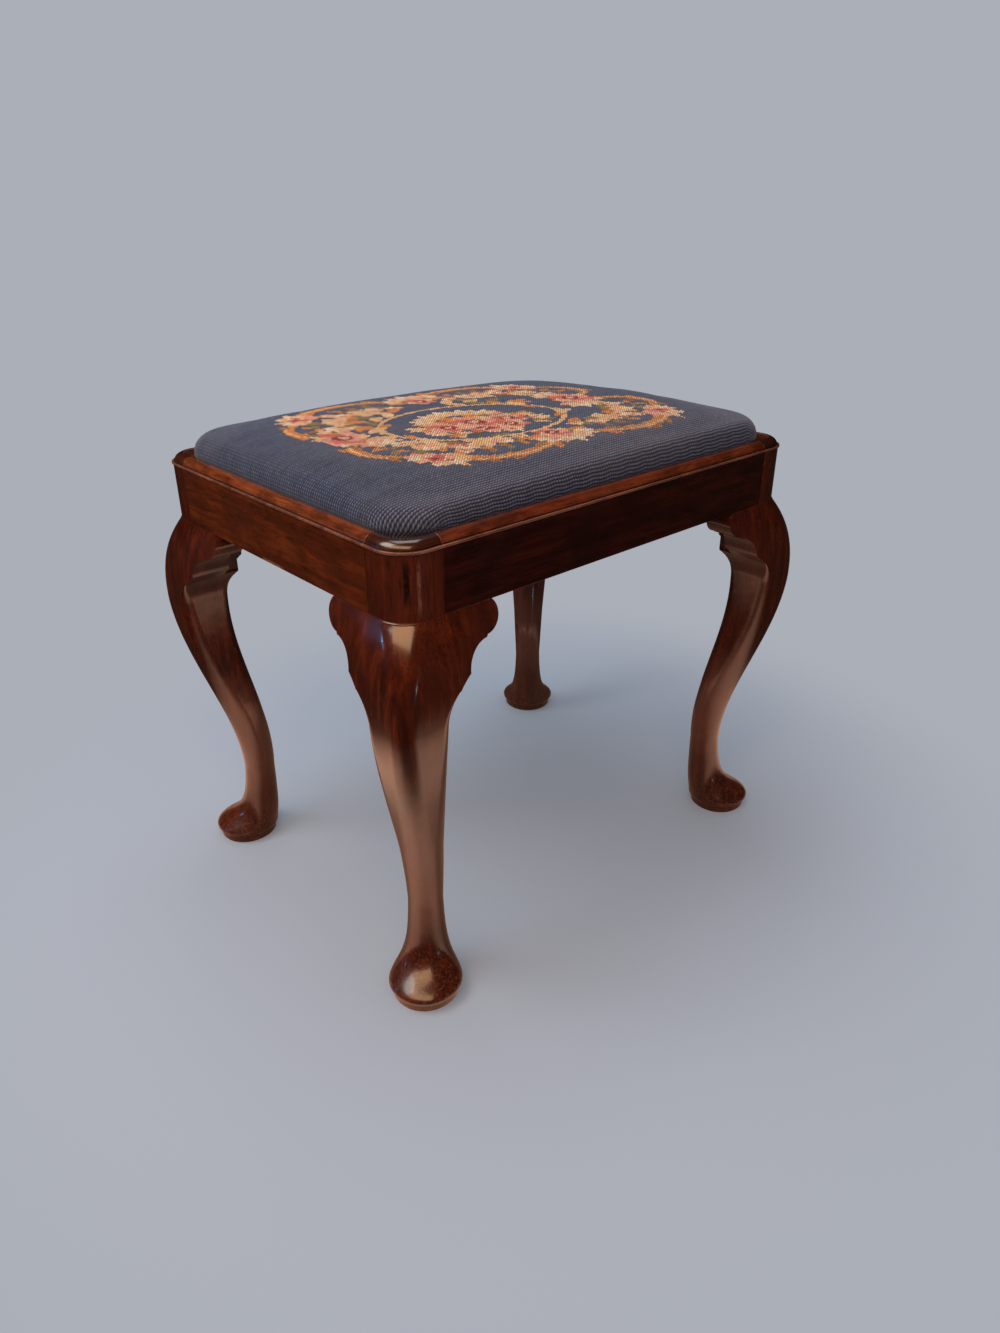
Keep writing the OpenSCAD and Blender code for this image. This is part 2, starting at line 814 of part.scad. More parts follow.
for (i = [0:web_short - 1]) {
    webbing_short(i);
}
hessian();
stuffing();
cover();
webbing_tacks();
cover_tacks();
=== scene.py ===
# Low dressing stool: cabriole legs, moulded rim and a drop-in seat in floral needlepoint
import math
import random

import bpy
import bmesh
import numpy as np
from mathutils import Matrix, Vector
from mathutils.bvhtree import BVHTree


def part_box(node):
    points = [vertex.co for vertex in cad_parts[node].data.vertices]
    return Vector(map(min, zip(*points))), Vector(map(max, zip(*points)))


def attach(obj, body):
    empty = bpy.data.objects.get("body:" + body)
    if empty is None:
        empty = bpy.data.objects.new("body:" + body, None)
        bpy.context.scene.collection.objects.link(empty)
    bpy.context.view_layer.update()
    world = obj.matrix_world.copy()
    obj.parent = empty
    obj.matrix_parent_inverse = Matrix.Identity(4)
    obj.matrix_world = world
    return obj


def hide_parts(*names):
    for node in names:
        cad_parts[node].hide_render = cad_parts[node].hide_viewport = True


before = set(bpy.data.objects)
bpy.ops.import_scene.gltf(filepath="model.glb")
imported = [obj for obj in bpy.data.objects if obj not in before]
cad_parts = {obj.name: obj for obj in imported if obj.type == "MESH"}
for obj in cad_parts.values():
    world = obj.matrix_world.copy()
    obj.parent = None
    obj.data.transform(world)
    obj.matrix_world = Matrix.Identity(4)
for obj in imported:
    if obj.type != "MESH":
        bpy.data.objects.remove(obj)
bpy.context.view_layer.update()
print("frame loaded:", len(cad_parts), "solids")

# Everything below is worked out in millimetres and goes into Blender in metres.


def boxOf(node):
    low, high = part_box(node)
    return np.array(low) * 1000, np.array(high) * 1000


# Main sizes, read from the frame
railLow, railHigh = boxOf("rail_front")
rimLow, rimHigh = boxOf("rim_front")
seatLow, seatHigh = boxOf("cover")
frameW, frameD = -2 * boxOf("rail_left")[0][0], -2 * railLow[1]
railZ, railTop, railT = railLow[2], railHigh[2], railHigh[1] + frameD / 2
postW = rimLow[0] + frameW / 2
rimW, rimH = rimHigh[1] + frameD / 2, rimHigh[2] - railTop
deckZ = boxOf("seat_rail_front")[1][2]
crownZ = seatHigh[2]
corners = [("front_left", 1, 1), ("front_right", -1, 1), ("back_left", 1, -1), ("back_right", -1, -1)]


# Building helpers


def newPiece(name, points, faces, material, body, replaced):
    mesh = bpy.data.meshes.new(name)
    mesh.from_pydata([tuple(p) for p in np.asarray(points, float) / 1000], [], faces)
    mesh.validate()
    mesh.materials.append(material)
    obj = bpy.data.objects.new(name, mesh)
    bpy.context.scene.collection.objects.link(obj)
    finishPiece(obj, body, replaced)
    return obj


def finishPiece(obj, body, replaced):
    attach(obj, body)
    if replaced:
        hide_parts(*replaced)


def rework(obj, change):
    work = bmesh.new()
    work.from_mesh(obj.data)
    change(work)
    work.to_mesh(obj.data)
    work.free()


def weld(work):
    bmesh.ops.remove_doubles(work, verts=work.verts, dist=1e-6)


def outwardNormals(obj):
    rework(obj, lambda work: bmesh.ops.recalc_face_normals(work, faces=work.faces))


def applyModifiers(obj):
    graph = bpy.context.evaluated_depsgraph_get()
    obj.data = bpy.data.meshes.new_from_object(obj.evaluated_get(graph), depsgraph=graph)
    obj.modifiers.clear()


# Smooth shading, with the edges that bend more than this kept crisp
def smoothByAngle(obj, degrees):
    def mark(work):
        for face in work.faces:
            face.smooth = True
        for edge in work.edges:
            edge.smooth = len(edge.link_faces) == 2 and edge.calc_face_angle(0) < math.radians(degrees)

    rework(obj, mark)
    # a wide flat face keeps its own normal beside a narrow rounded edge
    obj.modifiers.new("flats", "WEIGHTED_NORMAL").keep_sharp = True
    applyModifiers(obj)


# Takes the sharpness off the arrises, as sandpaper and years of polish do
def softenEdges(obj, width, segments=2, degrees=40, material=-1):
    bevel = obj.modifiers.new("soften", "BEVEL")
    bevel.width = width / 1000
    bevel.segments = segments
    bevel.limit_method = "ANGLE"
    bevel.angle_limit = math.radians(degrees)
    bevel.use_clamp_overlap = True
    bevel.material = material
    applyModifiers(obj)


# Edges that bend more than crisp stay so; soften holds what softenEdges is told
def dress(obj, crisp, soften=()):
    outwardNormals(obj)
    if soften:
        softenEdges(obj, *soften)
    smoothByAngle(obj, crisp)


def loftFaces(ringCount, ringSize, capped=True):
    faces = []
    for k in range(ringCount - 1):
        for i in range(ringSize):
            j = (i + 1) % ringSize
            faces.append((k * ringSize + i, k * ringSize + j, (k + 1) * ringSize + j, (k + 1) * ringSize + i))
    if capped:
        faces.append(tuple(range(ringSize - 1, -1, -1)))
        faces.append(tuple((ringCount - 1) * ringSize + i for i in range(ringSize)))
    return faces


# From a corner's own axes, with both rails running to +X and +Y, to the frame's
def atCorner(points, corner):
    points = np.array(points, float)
    points[:, 0] = corner[1] * (points[:, 0] - frameW / 2)
    points[:, 1] = corner[2] * (points[:, 1] - frameD / 2)
    return points


def swapXY(points):
    return np.array(points, float)[:, [1, 0, 2]]


def arcAngles(start, end, count):
    return [math.radians(start + (end - start) * i / count) for i in range(count + 1)]


# Material helpers


# A colour written as on the screen, turned into light
def linear(hexColour):
    parts = [int(hexColour[i:i + 2], 16) / 255 for i in (1, 3, 5)]
    return tuple(c / 12.92 if c <= 0.04045 else ((c + 0.055) / 1.055) ** 2.4 for c in parts) + (1.0,)


# Inputs go by name, with _ for a space, or by number as i0, i1; a value is a socket, a hex colour or a number
def setInputs(node, **inputs):
    for key, value in inputs.items():
        byNumber = key[0] == "i" and key[1:].isdigit()
        socket = node.inputs[int(key[1:]) if byNumber else key.replace("_", " ")]
        if isinstance(value, bpy.types.NodeSocket):
            node.id_data.links.new(value, socket)
        else:
            socket.default_value = linear(value) if isinstance(value, str) else value


# Adds a node with its settings, a ramp's stops and its inputs, and gives back one output
def addNode(tree, kind, settings=None, out=0, stops=(), **inputs):
    node = tree.nodes.new("ShaderNode" + kind)
    for key, value in (settings or {}).items():
        setattr(node, key, value)
    for k, (place, colour) in enumerate(stops):
        element = node.color_ramp.elements[k] if k < 2 else node.color_ramp.elements.new(1.0)
        element.position = place
        element.color = linear(colour) if isinstance(colour, str) else (colour, colour, colour, 1)
    setInputs(node, **inputs)
    return node.outputs[out]


mixed, multiplied = {"data_type": "RGBA"}, {"data_type": "RGBA", "blend_type": "MULTIPLY"}
times, stepped = {"operation": "MULTIPLY"}, {"interpolation_type": "SMOOTHSTEP"}


def newMaterial(name):
    material = bpy.data.materials.new(name)
    material.use_nodes = True
    tree = material.node_tree

    def add(kind, settings=None, out=0, stops=(), **inputs):
        return addNode(tree, kind, settings, out, stops, **inputs)

    return material, add, tree.nodes["Principled BSDF"], add("TexCoord", out="Object")


# Noise through a ramp: colours or shares that change from place to place
def patches(add, stops, vector, scale, **inputs):
    return add("ValToRGB", stops=stops, Fac=add("TexNoise", Vector=vector, Scale=scale, **inputs))


# Stretches a pattern along one axis, as wood grain runs
def stretched(add, place, axis, shrink):
    return add("Mapping", Vector=place, Scale=[shrink if name == axis else 1.0 for name in "xyz"])


# French-polished mahogany: shellac over open grain. It gives the eye a deep red-brown with darker
# streaks, a faint mottle, a hard wet gloss with a slight ripple, and browner arrises where it is worn.
polish = {
    "poreWidth": 0.5,      # mm
    "poreLength": 6,
    "streakWidth": 7,
    "mottleSize": 17,
    "figureSize": 46,
    "rippleSize": 30,
    "wearWidth": 0.9,
    "gloss": 0.2,          # roughness of the wood under the film
    "coat": 0.9,
    "coatRoughness": 0.15,
    "coatScuffed": 0.65,
    # pale band down the lower leg: a painted reflection of the floor
    "paintedLight": "#85503c",
    # pale scuff specks on the foot, partly a painted highlight
    "speckle": "#86573c",
}


def mahogany(name, axis, dark, middle, light, worn, figure, mottle, wear, paintedSheenAndScuffs=0.0, marks=()):
    material, add, shader, place = newMaterial(name)

    def grain(shrink):
        return stretched(add, place, axis, shrink)

    warp = add("TexNoise", out="Color", Vector=grain(0.35), Scale=1000 / polish["figureSize"])
    bent = add("VectorMath", {"operation": "MULTIPLY_ADD"}, i0=warp, i1=(0.012, 0.012, 0.012), i2=grain(0.07))
    colour = patches(add, [(0.24, dark), (0.5, middle), (0.82, light)], bent, 1000 / polish["streakWidth"],
                     Detail=5.0, Roughness=0.6)
    blotch = patches(add, [(0.42, mottle), (0.56, 0.0)], grain(0.45), 1000 / polish["mottleSize"],
                     Detail=4.0, Roughness=0.6, Distortion=0.6)
    colour = add("Mix", mixed, 2, i0=blotch, i6=colour, i7=dark)
    broad = patches(add, [(0.38, 0.0), (0.66, figure)], grain(0.4), 1000 / (2.4 * polish["figureSize"]), Detail=1.0)
    colour = add("Mix", mixed, 2, i0=broad, i6=colour, i7=light)
    pore = patches(add, [(0.56, 0.0), (0.7, 0.45)], grain(polish["poreWidth"] / polish["poreLength"]),
                   1000 / polish["poreWidth"] / 2.2, Detail=1.0, Roughness=0.4)
    colour = add("Mix", multiplied, 2, i0=pore, i6=colour, i7=dark)
    # arrises: where the rounded normal leaves the true one
    rounded = add("Bevel", {"samples": 6}, Radius=polish["wearWidth"] / 1000)
    facing = add("VectorMath", {"operation": "DOT_PRODUCT"}, "Value", i0=rounded,
                 i1=add("NewGeometry", out="Normal"))
    patchy = patches(add, [(0.36, 0.15), (0.6, 1.0)], place, 55.0, Detail=3.0)
    edge = add("MapRange", Value=facing, i1=0.995, i2=0.88, i4=wear)
    colour = add("Mix", mixed, 2, i0=add("Math", times, i0=edge, i1=patchy), i6=colour, i7=worn)
    smudge = add("TexNoise", Vector=place, Scale=16.0, Detail=4.0)
    rough = add("MapRange", Value=smudge, i1=0.3, i2=0.75, i3=polish["gloss"], i4=polish["gloss"] + 0.14)
    coat = polish["coat"]
    if paintedSheenAndScuffs:   # a pale band down the lower leg, a painted reflection of the floor; the foot scuffed dull, with pale specks that are partly a painted highlight
        height = add("SeparateXYZ", out="Z", Vector=place)
        paintedLight = add("ValToRGB", stops=[(0.06, 0.0), (0.1, paintedSheenAndScuffs), (0.16, paintedSheenAndScuffs), (0.22, 0.0)], Fac=height)
        colour = add("Mix", mixed, 2, i0=paintedLight, i6=colour, i7=polish["paintedLight"])
        scuffed = add("MapRange", Value=height, i1=0.06, i2=0.025)
        # pale scuff specks, which also paint the toe's grainy highlight
        scuffGlints = patches(add, [(0.52, 0.0), (0.64, 0.25)], place, 420.0)
        colour = add("Mix", mixed, 2, i0=add("Math", times, i0=scuffed, i1=scuffGlints), i6=colour, i7=polish["speckle"])
        rough = add("Math", {"operation": "MULTIPLY_ADD"}, i0=scuffed, i1=0.06, i2=rough)
        coat = add("MapRange", Value=scuffed, i3=coat, i4=polish["coatScuffed"])
    for low, high, reach, deep, share, tint in marks:
        away = add("VectorMath", {"operation": "SUBTRACT"}, i0=place, i1=[(a + b) / 2 for a, b in zip(low, high)])
        away = add("VectorMath", {"operation": "DIVIDE"}, i0=away, i1=[(b - a) / 2 for a, b in zip(low, high)])
        away = add("VectorMath", {"operation": "ABSOLUTE"}, i0=away)
        parts = add("SeparateXYZ", Vector=away).node.outputs
        outer = add("Math", {"operation": "MAXIMUM"}, i0=parts[0], i1=parts[1])
        outer = add("Math", {"operation": "MAXIMUM"}, i0=outer, i1=parts[2])
        inside = add("MapRange", Value=outer, i1=1.0, i2=reach, i4=share)
        ragged = patches(add, [(0.35, deep), (0.55, 1.0)], grain(0.3), 700.0)
        colour = add("Mix", mixed, 2, i0=add("Math", times, i0=inside, i1=ragged), i6=colour, i7=tint)
    ripple = add("TexNoise", Vector=place, Scale=1000 / polish["rippleSize"])
    bump = add("Bump", Strength=0.3, Distance=0.001, Height=ripple)
    poreBump = add("Bump", {"invert": True}, Strength=0.2, Distance=0.0002, Height=pore, Normal=bump)
    # the polish wets the wood, so the film gives most of the gloss
    setInputs(shader, Base_Color=colour, Roughness=rough, IOR=1.5, Specular_IOR_Level=0.35, Coat_Weight=coat,
              Coat_Roughness=polish["coatRoughness"], Coat_IOR=1.52, Normal=poreBump, Coat_Normal=bump)
    return material


# Marks of use: a dark shake on the near post, a pale line beside it that is worn polish together with a painted
# highlight, and a bruise under the left rail.
# Each is a box in m, how far in it reaches full strength, how ragged it is, its share and its colour.
postMarks = [((-0.2412, -0.190, 0.398), (-0.2362, -0.180, 0.4395), 0.45, 0.7, 0.95, "#0c0301"),
             ((-0.2325, -0.194, 0.388), (-0.2285, -0.184, 0.439), 0.3, 0.1, 0.45, "#9a6a54")]
railMarks = [((-0.252, -0.026, 0.380), (-0.245, 0.012, 0.3895), 0.6, 0.2, 0.6, "#9a6a4c")]
legWood = mahogany("mahoganyLeg", "z", "#220904", "#441505", "#68290d", "#8a4f2c", 0.2, 0.4, 0.35, 0.3, postMarks)
sideRailWood = mahogany("mahoganySideRail", "y", "#200902", "#4b1804", "#74340e", "#8a4f2c", 0.35, 0.5, 0.6,
                        marks=railMarks)
# The front and back rails are darker than the side rails: painted shade, as on a face turned from the light
shadedRailWood = mahogany("mahoganyRailPaintedShade", "x", "#120201", "#2c0702", "#461206", "#6f3d20", 0.2, 0.5, 0.5)
earWood = mahogany("mahoganyEar", "z", "#200903", "#431406", "#62260c", "#6f3d20", 0.2, 0.4, 0.12)
# The long rims are darker than the short ones: painted shade on the front and back
shadedRimWood = mahogany("mahoganyRimLongPaintedShade", "x", "#240a04", "#5e240e", "#8a4520", "#9a6444", 0.25, 0.6, 0.6)
rimWoodY = mahogany("mahoganyRimShort", "y", "#2a0f06", "#703416", "#9a572e", "#a8704e", 0.25, 0.6, 0.6)
rimCornerWood = mahogany("mahoganyRimCorner", "x", "#1c0a04", "#38170a", "#603014", "#8a5a40", 0.2, 0.5, 0.5)
# The lip is paler than the rim: worn polish together with a painted highlight along it
lipWood = mahogany("mahoganyWornLipPaintedHighlight", "x", "#3a1a10", "#6f4030", "#94644e", "#a87c66", 0.3, 0.6, 0.5)


# Painted shade in the quirk under the rim's round and on the round's lower side: nearly black, with little shine
def paintQuirkShade():
    material, add, shader, place = newMaterial("quirkPaintedShade")
    setInputs(shader, Base_Color=patches(add, [(0.35, "#0e0402"), (0.7, "#2a0f06")], place, 60.0, Detail=3.0),
              Roughness=0.45)
    return material


quirkShade = paintQuirkShade()


# Planed beech: pale pinkish brown with short darker flecks, matt, greyed by age
def beechWood(name, axis):
    material, add, shader, place = newMaterial(name)
    grain = add("TexNoise", Vector=stretched(add, place, axis, 0.06), Scale=160.0, Detail=4.0)
    colour = add("ValToRGB", stops=[(0.3, "#9a7450"), (0.52, "#b8926a"), (0.72, "#c9a67e")], Fac=grain)
    fleck = patches(add, [(0.6, 0.0), (0.7, 0.5)], stretched(add, place, axis, 0.25), 620.0, Detail=1.0)
    colour = add("Mix", mixed, 2, i0=fleck, i6=colour, i7="#7a5636")
    dust = patches(add, [(0.4, 0.0), (0.75, 0.4)], place, 14.0, Detail=4.0)
    colour = add("Mix", mixed, 2, i0=dust, i6=colour, i7="#8a7a68")
    bump = add("Bump", Strength=0.3, Distance=0.0002, Height=grain)
    setInputs(shader, Base_Color=colour, Roughness=0.68, Normal=bump)
    return material


beechX = beechWood("planedBeechLong", "x")
beechY = beechWood("planedBeechShort", "y")


# Woven webbing, hessian and canvas: threads over and under at the real count, hairy and matt
def wovenCloth(name, thread, pale, deep, gap):
    material, add, shader, place = newMaterial(name)
    parts = add("SeparateXYZ", Vector=place).node.outputs
    waves = [add("Math", {"operation": "SINE"}, i0=add("Math", times, i0=part, i1=math.pi * 1000 / thread))
             for part in parts[:2]]
    weave = add("MapRange", Value=add("Math", times, i0=waves[0], i1=waves[1]), i1=-1.0)
    fluff = patches(add, [(0.35, 0.5), (0.6, 0.0)], place, 700.0)
    stain = patches(add, [(0.45, 0.0), (0.8, 0.45)], place, 11.0, Detail=3.0)
    colour = add("Mix", mixed, 2, i0=weave, i6=deep, i7=pale)
    for share in (fluff, stain):
        colour = add("Mix", mixed, 2, i0=share, i6=colour, i7=gap)
    bump = add("Bump", Strength=0.6, Distance=0.0004, Height=weave)
    setInputs(shader, Base_Color=colour, Roughness=0.92, Sheen_Weight=0.2, Normal=bump)
    return material


juteWebbing = wovenCloth("juteWebbing", 2.4, "#a88a5c", "#846a44", "#4f3e28")
hessianCloth = wovenCloth("hessianCloth", 2.0, "#b49a70", "#8e7550", "#54452e")
linenCanvas = wovenCloth("linenCanvas", 1.8, "#b9aa8c", "#93866a", "#5f5642")


# Curled horsehair under the cover: dark brown and matted
def horsehairPad():
    material, add, shader, place = newMaterial("curledHorsehair")
    hair = add("TexNoise", Vector=place, Scale=240.0, Detail=6.0, Roughness=0.7, Distortion=2.0)
    colour = add("ValToRGB", stops=[(0.35, "#1d140e"), (0.6, "#4a3524"), (0.72, "#6d543a")], Fac=hair)
    bump = add("Bump", Strength=0.9, Distance=0.002, Height=hair)
    setInputs(shader, Base_Color=colour, Roughness=0.8, Normal=bump)
    return material


hairPad = horsehairPad()


# Cut steel tacks and screws, gone dull and brown with age
def agedSteel():
    material, add, shader, place = newMaterial("agedSteel")
    rust = add("TexNoise", Vector=place, Scale=420.0, Detail=4.0)
    colour = add("ValToRGB", stops=[(0.4, "#6e675f"), (0.58, "#4b3a2c"), (0.7, "#5f3a22")], Fac=rust)
    rough = add("MapRange", Value=rust, i1=0.35, i2=0.7, i3=0.35, i4=0.75)
    setInputs(shader, Base_Color=colour, Metallic=0.85, Roughness=rough)
    return material


steel = agedSteel()


# Worsted wool in tent stitch: each stitch is a small soft bead. The eye sees ribs along the rows with
# near-black gaps between them, and a colour that changes only from stitch to stitch. The near-black of the
# gaps and the brighter bead tops are painted shade and painted highlight, set by each point's height.
def stitchedWool():
    material, add, shader, place = newMaterial("stitchedWool")
    paintedStitchShade = add("ValToRGB", stops=[(0.0, 0.03), (0.4, 0.45), (1.0, 1.25)],
                Fac=add("Attribute", {"attribute_name": "loft"}, "Fac"))
    front = add("SeparateXYZ", out="Y", Vector=place)
    paintedLight = add("MapRange", stepped, Value=front, i1=-0.1, i2=-0.178, i4=0.24)   # painted light, paler along the front edge
    colour = add("Mix", mixed, 2, i0=paintedLight, i6=add("Attribute", {"attribute_name": "wool"}), i7="#908892")
    colour = add("Mix", multiplied, 2, i0=1.0, i6=colour, i7=paintedStitchShade)
    fibre = add("TexNoise", Vector=place, Scale=1500.0, Detail=3.0)
    fuzz = add("ValToRGB", stops=[(0.3, 0.55), (0.7, 1.35)], Fac=fibre)
    colour = add("Mix", multiplied, 2, i0=0.5, i6=colour, i7=fuzz)
    faded = patches(add, [(0.45, 0.0), (0.8, 0.16)], place, 9.0, Detail=4.0)
    colour = add("Mix", mixed, 2, i0=faded, i6=colour, i7="#6f6660")
    bump = add("Bump", Strength=0.5, Distance=0.0003, Height=fibre)
    setInputs(shader, Base_Color=colour, Roughness=0.88, Sheen_Weight=0.12, Sheen_Roughness=0.5,
              Specular_IOR_Level=0.15, Normal=bump)
    return material


wool = stitchedWool()
print("materials made")


# Camera, at the photograph's viewpoint
lookout = {
    "place": (-0.6134, -0.7008, 0.6724),
    "azimuth": -42.14,
    "elevation": 26.97,
    "roll": -0.21,
    "lens": 25.15,
}


def makeCamera():
    data = bpy.data.cameras.new("camera")
    data.sensor_width = 36
    data.lens = lookout["lens"]
    data.clip_start = 0.01
    camera = bpy.data.objects.new("camera", data)
    bpy.context.scene.collection.objects.link(camera)
    a, e, r = (math.radians(lookout[key]) for key in ("azimuth", "elevation", "roll"))
    back = Vector((math.sin(a) * math.cos(e), -math.cos(a) * math.cos(e), math.sin(e)))
    right = Vector((math.cos(a), math.sin(a), 0))
    up = back.cross(right)
    turn = camera.matrix_world.to_3x3()
    turn.col[0] = right * math.cos(r) + up * math.sin(r)
    turn.col[1] = up * math.cos(r) - right * math.sin(r)
    turn.col[2] = back
    camera.matrix_world = turn.to_4x4()
    camera.location = lookout["place"]
    bpy.context.scene.camera = camera


makeCamera()


# Legs: square posts with a knee, an ankle and a pad foot, sawn and shaped from one piece
leg = {
    "cornerR": 28,
    "kneeOut": 17,
    "kneeDrop": 86,
    "kneeHalf": 25.5,
    "kneePower": 2.7,      # how suddenly the knee swells
    "kneeRound": 0.59,     # roundness of the outer corner at the knee, 1 for a full circle
    "sideRound": 0.42,     # the same for the other corners
    "fullRound": 0.97,
    "roundGain": (0.56, 0.8),   # how much rounder both get down to the ankle
    "crispDrop": 9,        # mm below the ears where the inner corners start to round
    "ankleZ": 90,
    "ankleR": 15,
    "ankleIn": 38.5,
    "taperPower": 1.3,
    "footR": 34.5,
    "footZ": 12.5,
    "footIn": 21,
    "footFlare": 17.5,
    "footPower": 1.8,
    "swellPower": 3,
    "discR": 31,
    "discH": 8.5,
    "footLip": 1.2,        # how far the foot stands out over its disc
    "discWear": 0.8,
    "ledge": 0.9,          # how far the knee stands proud of the rail's lower edge
    "ledgeH": 1.2,
    "edgeR": 1,            # inner corners where the ears are glued on
}
ear = {
    "reach": 94,
    "noseR": 15,
    "noseDrop": 25.5,
    "coveR": 22.5,
    "step": 2,
    "fall": 0.5,           # how far the knee's curve has sunk back at the ear's end
    "soften": 0.7,
}
kneeZ = railZ - leg["kneeDrop"]
kneeIn = leg["kneeHalf"] - leg["kneeOut"]
neckIn = leg["kneeHalf"] + kneeIn
coveU = ear["reach"] - ear["noseR"] - ear["step"] / 2
coveD = ear["noseDrop"] + ear["step"] + ear["coveR"]
pointU = coveU - ear["coveR"]


def clamp(t):
    return max(0.0, min(1.0, t))


def shank(z):
    return clamp((kneeZ - z) / (kneeZ - leg["ankleZ"]))


def footSwell(z):
    fade = 1 - clamp((z - leg["footZ"]) / (kneeZ - leg["footZ"])) ** leg["swellPower"]
    return fade / (1 + (max(0.0, z - leg["footZ"]) / leg["footFlare"]) ** leg["footPower"])


def legCentre(z):
    bend = (1 - math.cos(math.pi * shank(z))) / 2
    return kneeIn + (leg["ankleIn"] - kneeIn) * bend - (leg["ankleIn"] - leg["footIn"]) * footSwell(z)


def legHalf(z):
    taper = (leg["kneeHalf"] - leg["ankleR"]) * shank(z) ** leg["taperPower"]
    return leg["kneeHalf"] - taper + (leg["footR"] - leg["ankleR"]) * footSwell(z)


# How far the knee stands out, and where the leg's inner side runs, at a distance below the rail
def kneeSwell(d):
    swell = leg["kneeOut"] * (1 - clamp(1 - d / leg["kneeDrop"]) ** leg["kneePower"])
    lip = leg["ledge"] * math.sqrt(max(0.0, 1 - (1 - clamp(d / leg["ledgeH"])) ** 2))
    return max(swell, lip)


def neckLine(d):
    rise = 1 - clamp((d - coveD) / (leg["kneeDrop"] - coveD))
    return neckIn + (pointU - neckIn) * rise ** leg["kneePower"]


def squareRing(out, inn, outerR, sideR, z, steps=9):
    ring = []
    for x, y, r, start in ((outerR - out, outerR - out, outerR, 180), (inn - sideR, sideR - out, sideR, 270),
                           (inn - sideR, inn - sideR, sideR, 0), (sideR - out, inn - sideR, sideR, 90)):
        ring += [(x + r * math.cos(a), y + r * math.sin(a), z) for a in arcAngles(start, start + 90, steps)]
    return ring


def centredRing(half, centre, shareOut, shareSide, z):
    return squareRing(half - centre, half + centre, half * shareOut, half * shareSide, z)


# One level of the leg, from the floor up to the rail
def legRing(z):
    full = leg["fullRound"]
    if z <= leg["discH"]:
        worn = leg["discWear"] * (1 - clamp(z / leg["discWear"])) ** 2
        return centredRing(leg["discR"] - worn, leg["footIn"], full, full, z)
    if z <= leg["footZ"]:
        t = (leg["footZ"] - z) / (leg["footZ"] - leg["discH"])
        under = leg["discR"] + leg["footLip"]
        return centredRing(leg["footR"] - (leg["footR"] - under) * t * t, leg["footIn"], full, full, z)
    if z <= kneeZ:
        outer, side = (min(full, leg[key] + gain * shank(z))
                       for key, gain in zip(("kneeRound", "sideRound"), leg["roundGain"]))
        return centredRing(legHalf(z), legCentre(z), outer, side, z)
    d = railZ - z
    q = 1 - d / leg["kneeDrop"]
    kneeR = leg["kneeRound"] * leg["kneeHalf"]
    crisp = coveD + leg["crispDrop"]
    low = clamp((d - crisp) / (leg["kneeDrop"] - crisp))
    sideR = leg["edgeR"] + (leg["sideRound"] * leg["kneeHalf"] - leg["edgeR"]) * low
    return squareRing(kneeSwell(d), neckLine(d), kneeR + (leg["cornerR"] - kneeR) * q * q, sideR, z)


def levels(start, end, count):
    return list(np.linspace(start, end, count, endpoint=False))


def makeLeg(corner):
    heights = [0, 0.3, 0.8, leg["discH"] - 0.1] + levels(leg["discH"] + 0.01, leg["footZ"], 8)
    flare = [leg["footZ"] + 0.3 * k ** 1.6 for k in range(1, 40)]
    heights += [z for z in flare if z < leg["ankleZ"] - 1] + levels(leg["ankleZ"], kneeZ, 44)
    heights += levels(kneeZ + 0.1, railZ - 2, 40) + [railZ - d for d in (1.6, 1.2, 0.8, 0.5, 0.25, 0.1)]
    rings = [legRing(z) for z in heights]
    for ring, z in zip(rings, heights):
        if z > kneeZ + 4:   # the ears and rails cover the inner faces from here up
            ring[:] = [(min(x, postW), min(y, postW), z) for x, y, z in ring]
    for z in (railZ, railZ + 0.05, (railZ + railTop) / 2, railTop):
        rings.append(squareRing(0, postW, leg["cornerR"], 0.5, z))
    name = "leg_" + corner[0]
    obj = newPiece(name, atCorner(np.concatenate(rings), corner), loftFaces(len(rings), len(rings[0])), legWood,
                   "frame", [name])
    rework(obj, weld)
    dress(obj, 32)


for corner in corners:
    makeLeg(corner)
print("legs made")


# Ears: shaped brackets each side of every leg, carrying the knee's swell out along the rail


# The ear's edge seen from the front: distance from the frame's corner and below the rail
def earOutline():
    tip = postW + 0.4
    end = coveD + (leg["kneeDrop"] - coveD) * (1 - ((tip - neckIn) / (pointU - neckIn)) ** (1 / leg["kneePower"]))
    noseU, noseD = ear["reach"] - ear["noseR"], ear["noseDrop"] - ear["noseR"]
    outline = [(neckLine(d), d) for d in levels(end, coveD, 12)]
    outline += [(coveU - ear["coveR"] * math.cos(a), coveD - ear["coveR"] * math.sin(a))
                for a in arcAngles(0, 90, 14)]
    start = math.degrees(math.asin(noseD / ear["noseR"]))
    outline += [(noseU + ear["noseR"] * math.cos(a), max(0.0, noseD + ear["noseR"] * math.sin(a)))
                for a in arcAngles(90, -start, 21)]
    return outline


def makeEar(name, corner, swapped):
    rings = []
    for u, d in earOutline():
        ring = [(postW, railT, railZ - d)]
        for x in np.linspace(postW, u, 13):
            sunk = ear["fall"] * (x - postW) / (ear["reach"] - postW)
            ring.append((x, -kneeSwell(d) * (1 - sunk), railZ - d))
        rings.append(ring + [(u, railT, railZ - d)])
    points = np.concatenate(rings)
    points = atCorner(swapXY(points) if swapped else points, corner)
    obj = newPiece(name, points, loftFaces(len(rings), len(rings[0])), earWood, "frame", [name])
    dress(obj, 40, (ear["soften"], 2, 42))


for corner in corners:
    endName, sideName = corner[0].split("_")
    makeEar("ear_" + corner[0], corner, False)
    makeEar("ear_" + sideName + "_" + endName, corner, True)
print("ears made")


# Rails, flush with the posts; a softened arris at each joint leaves the fine line that shows
rail = {"soften": 0.5}


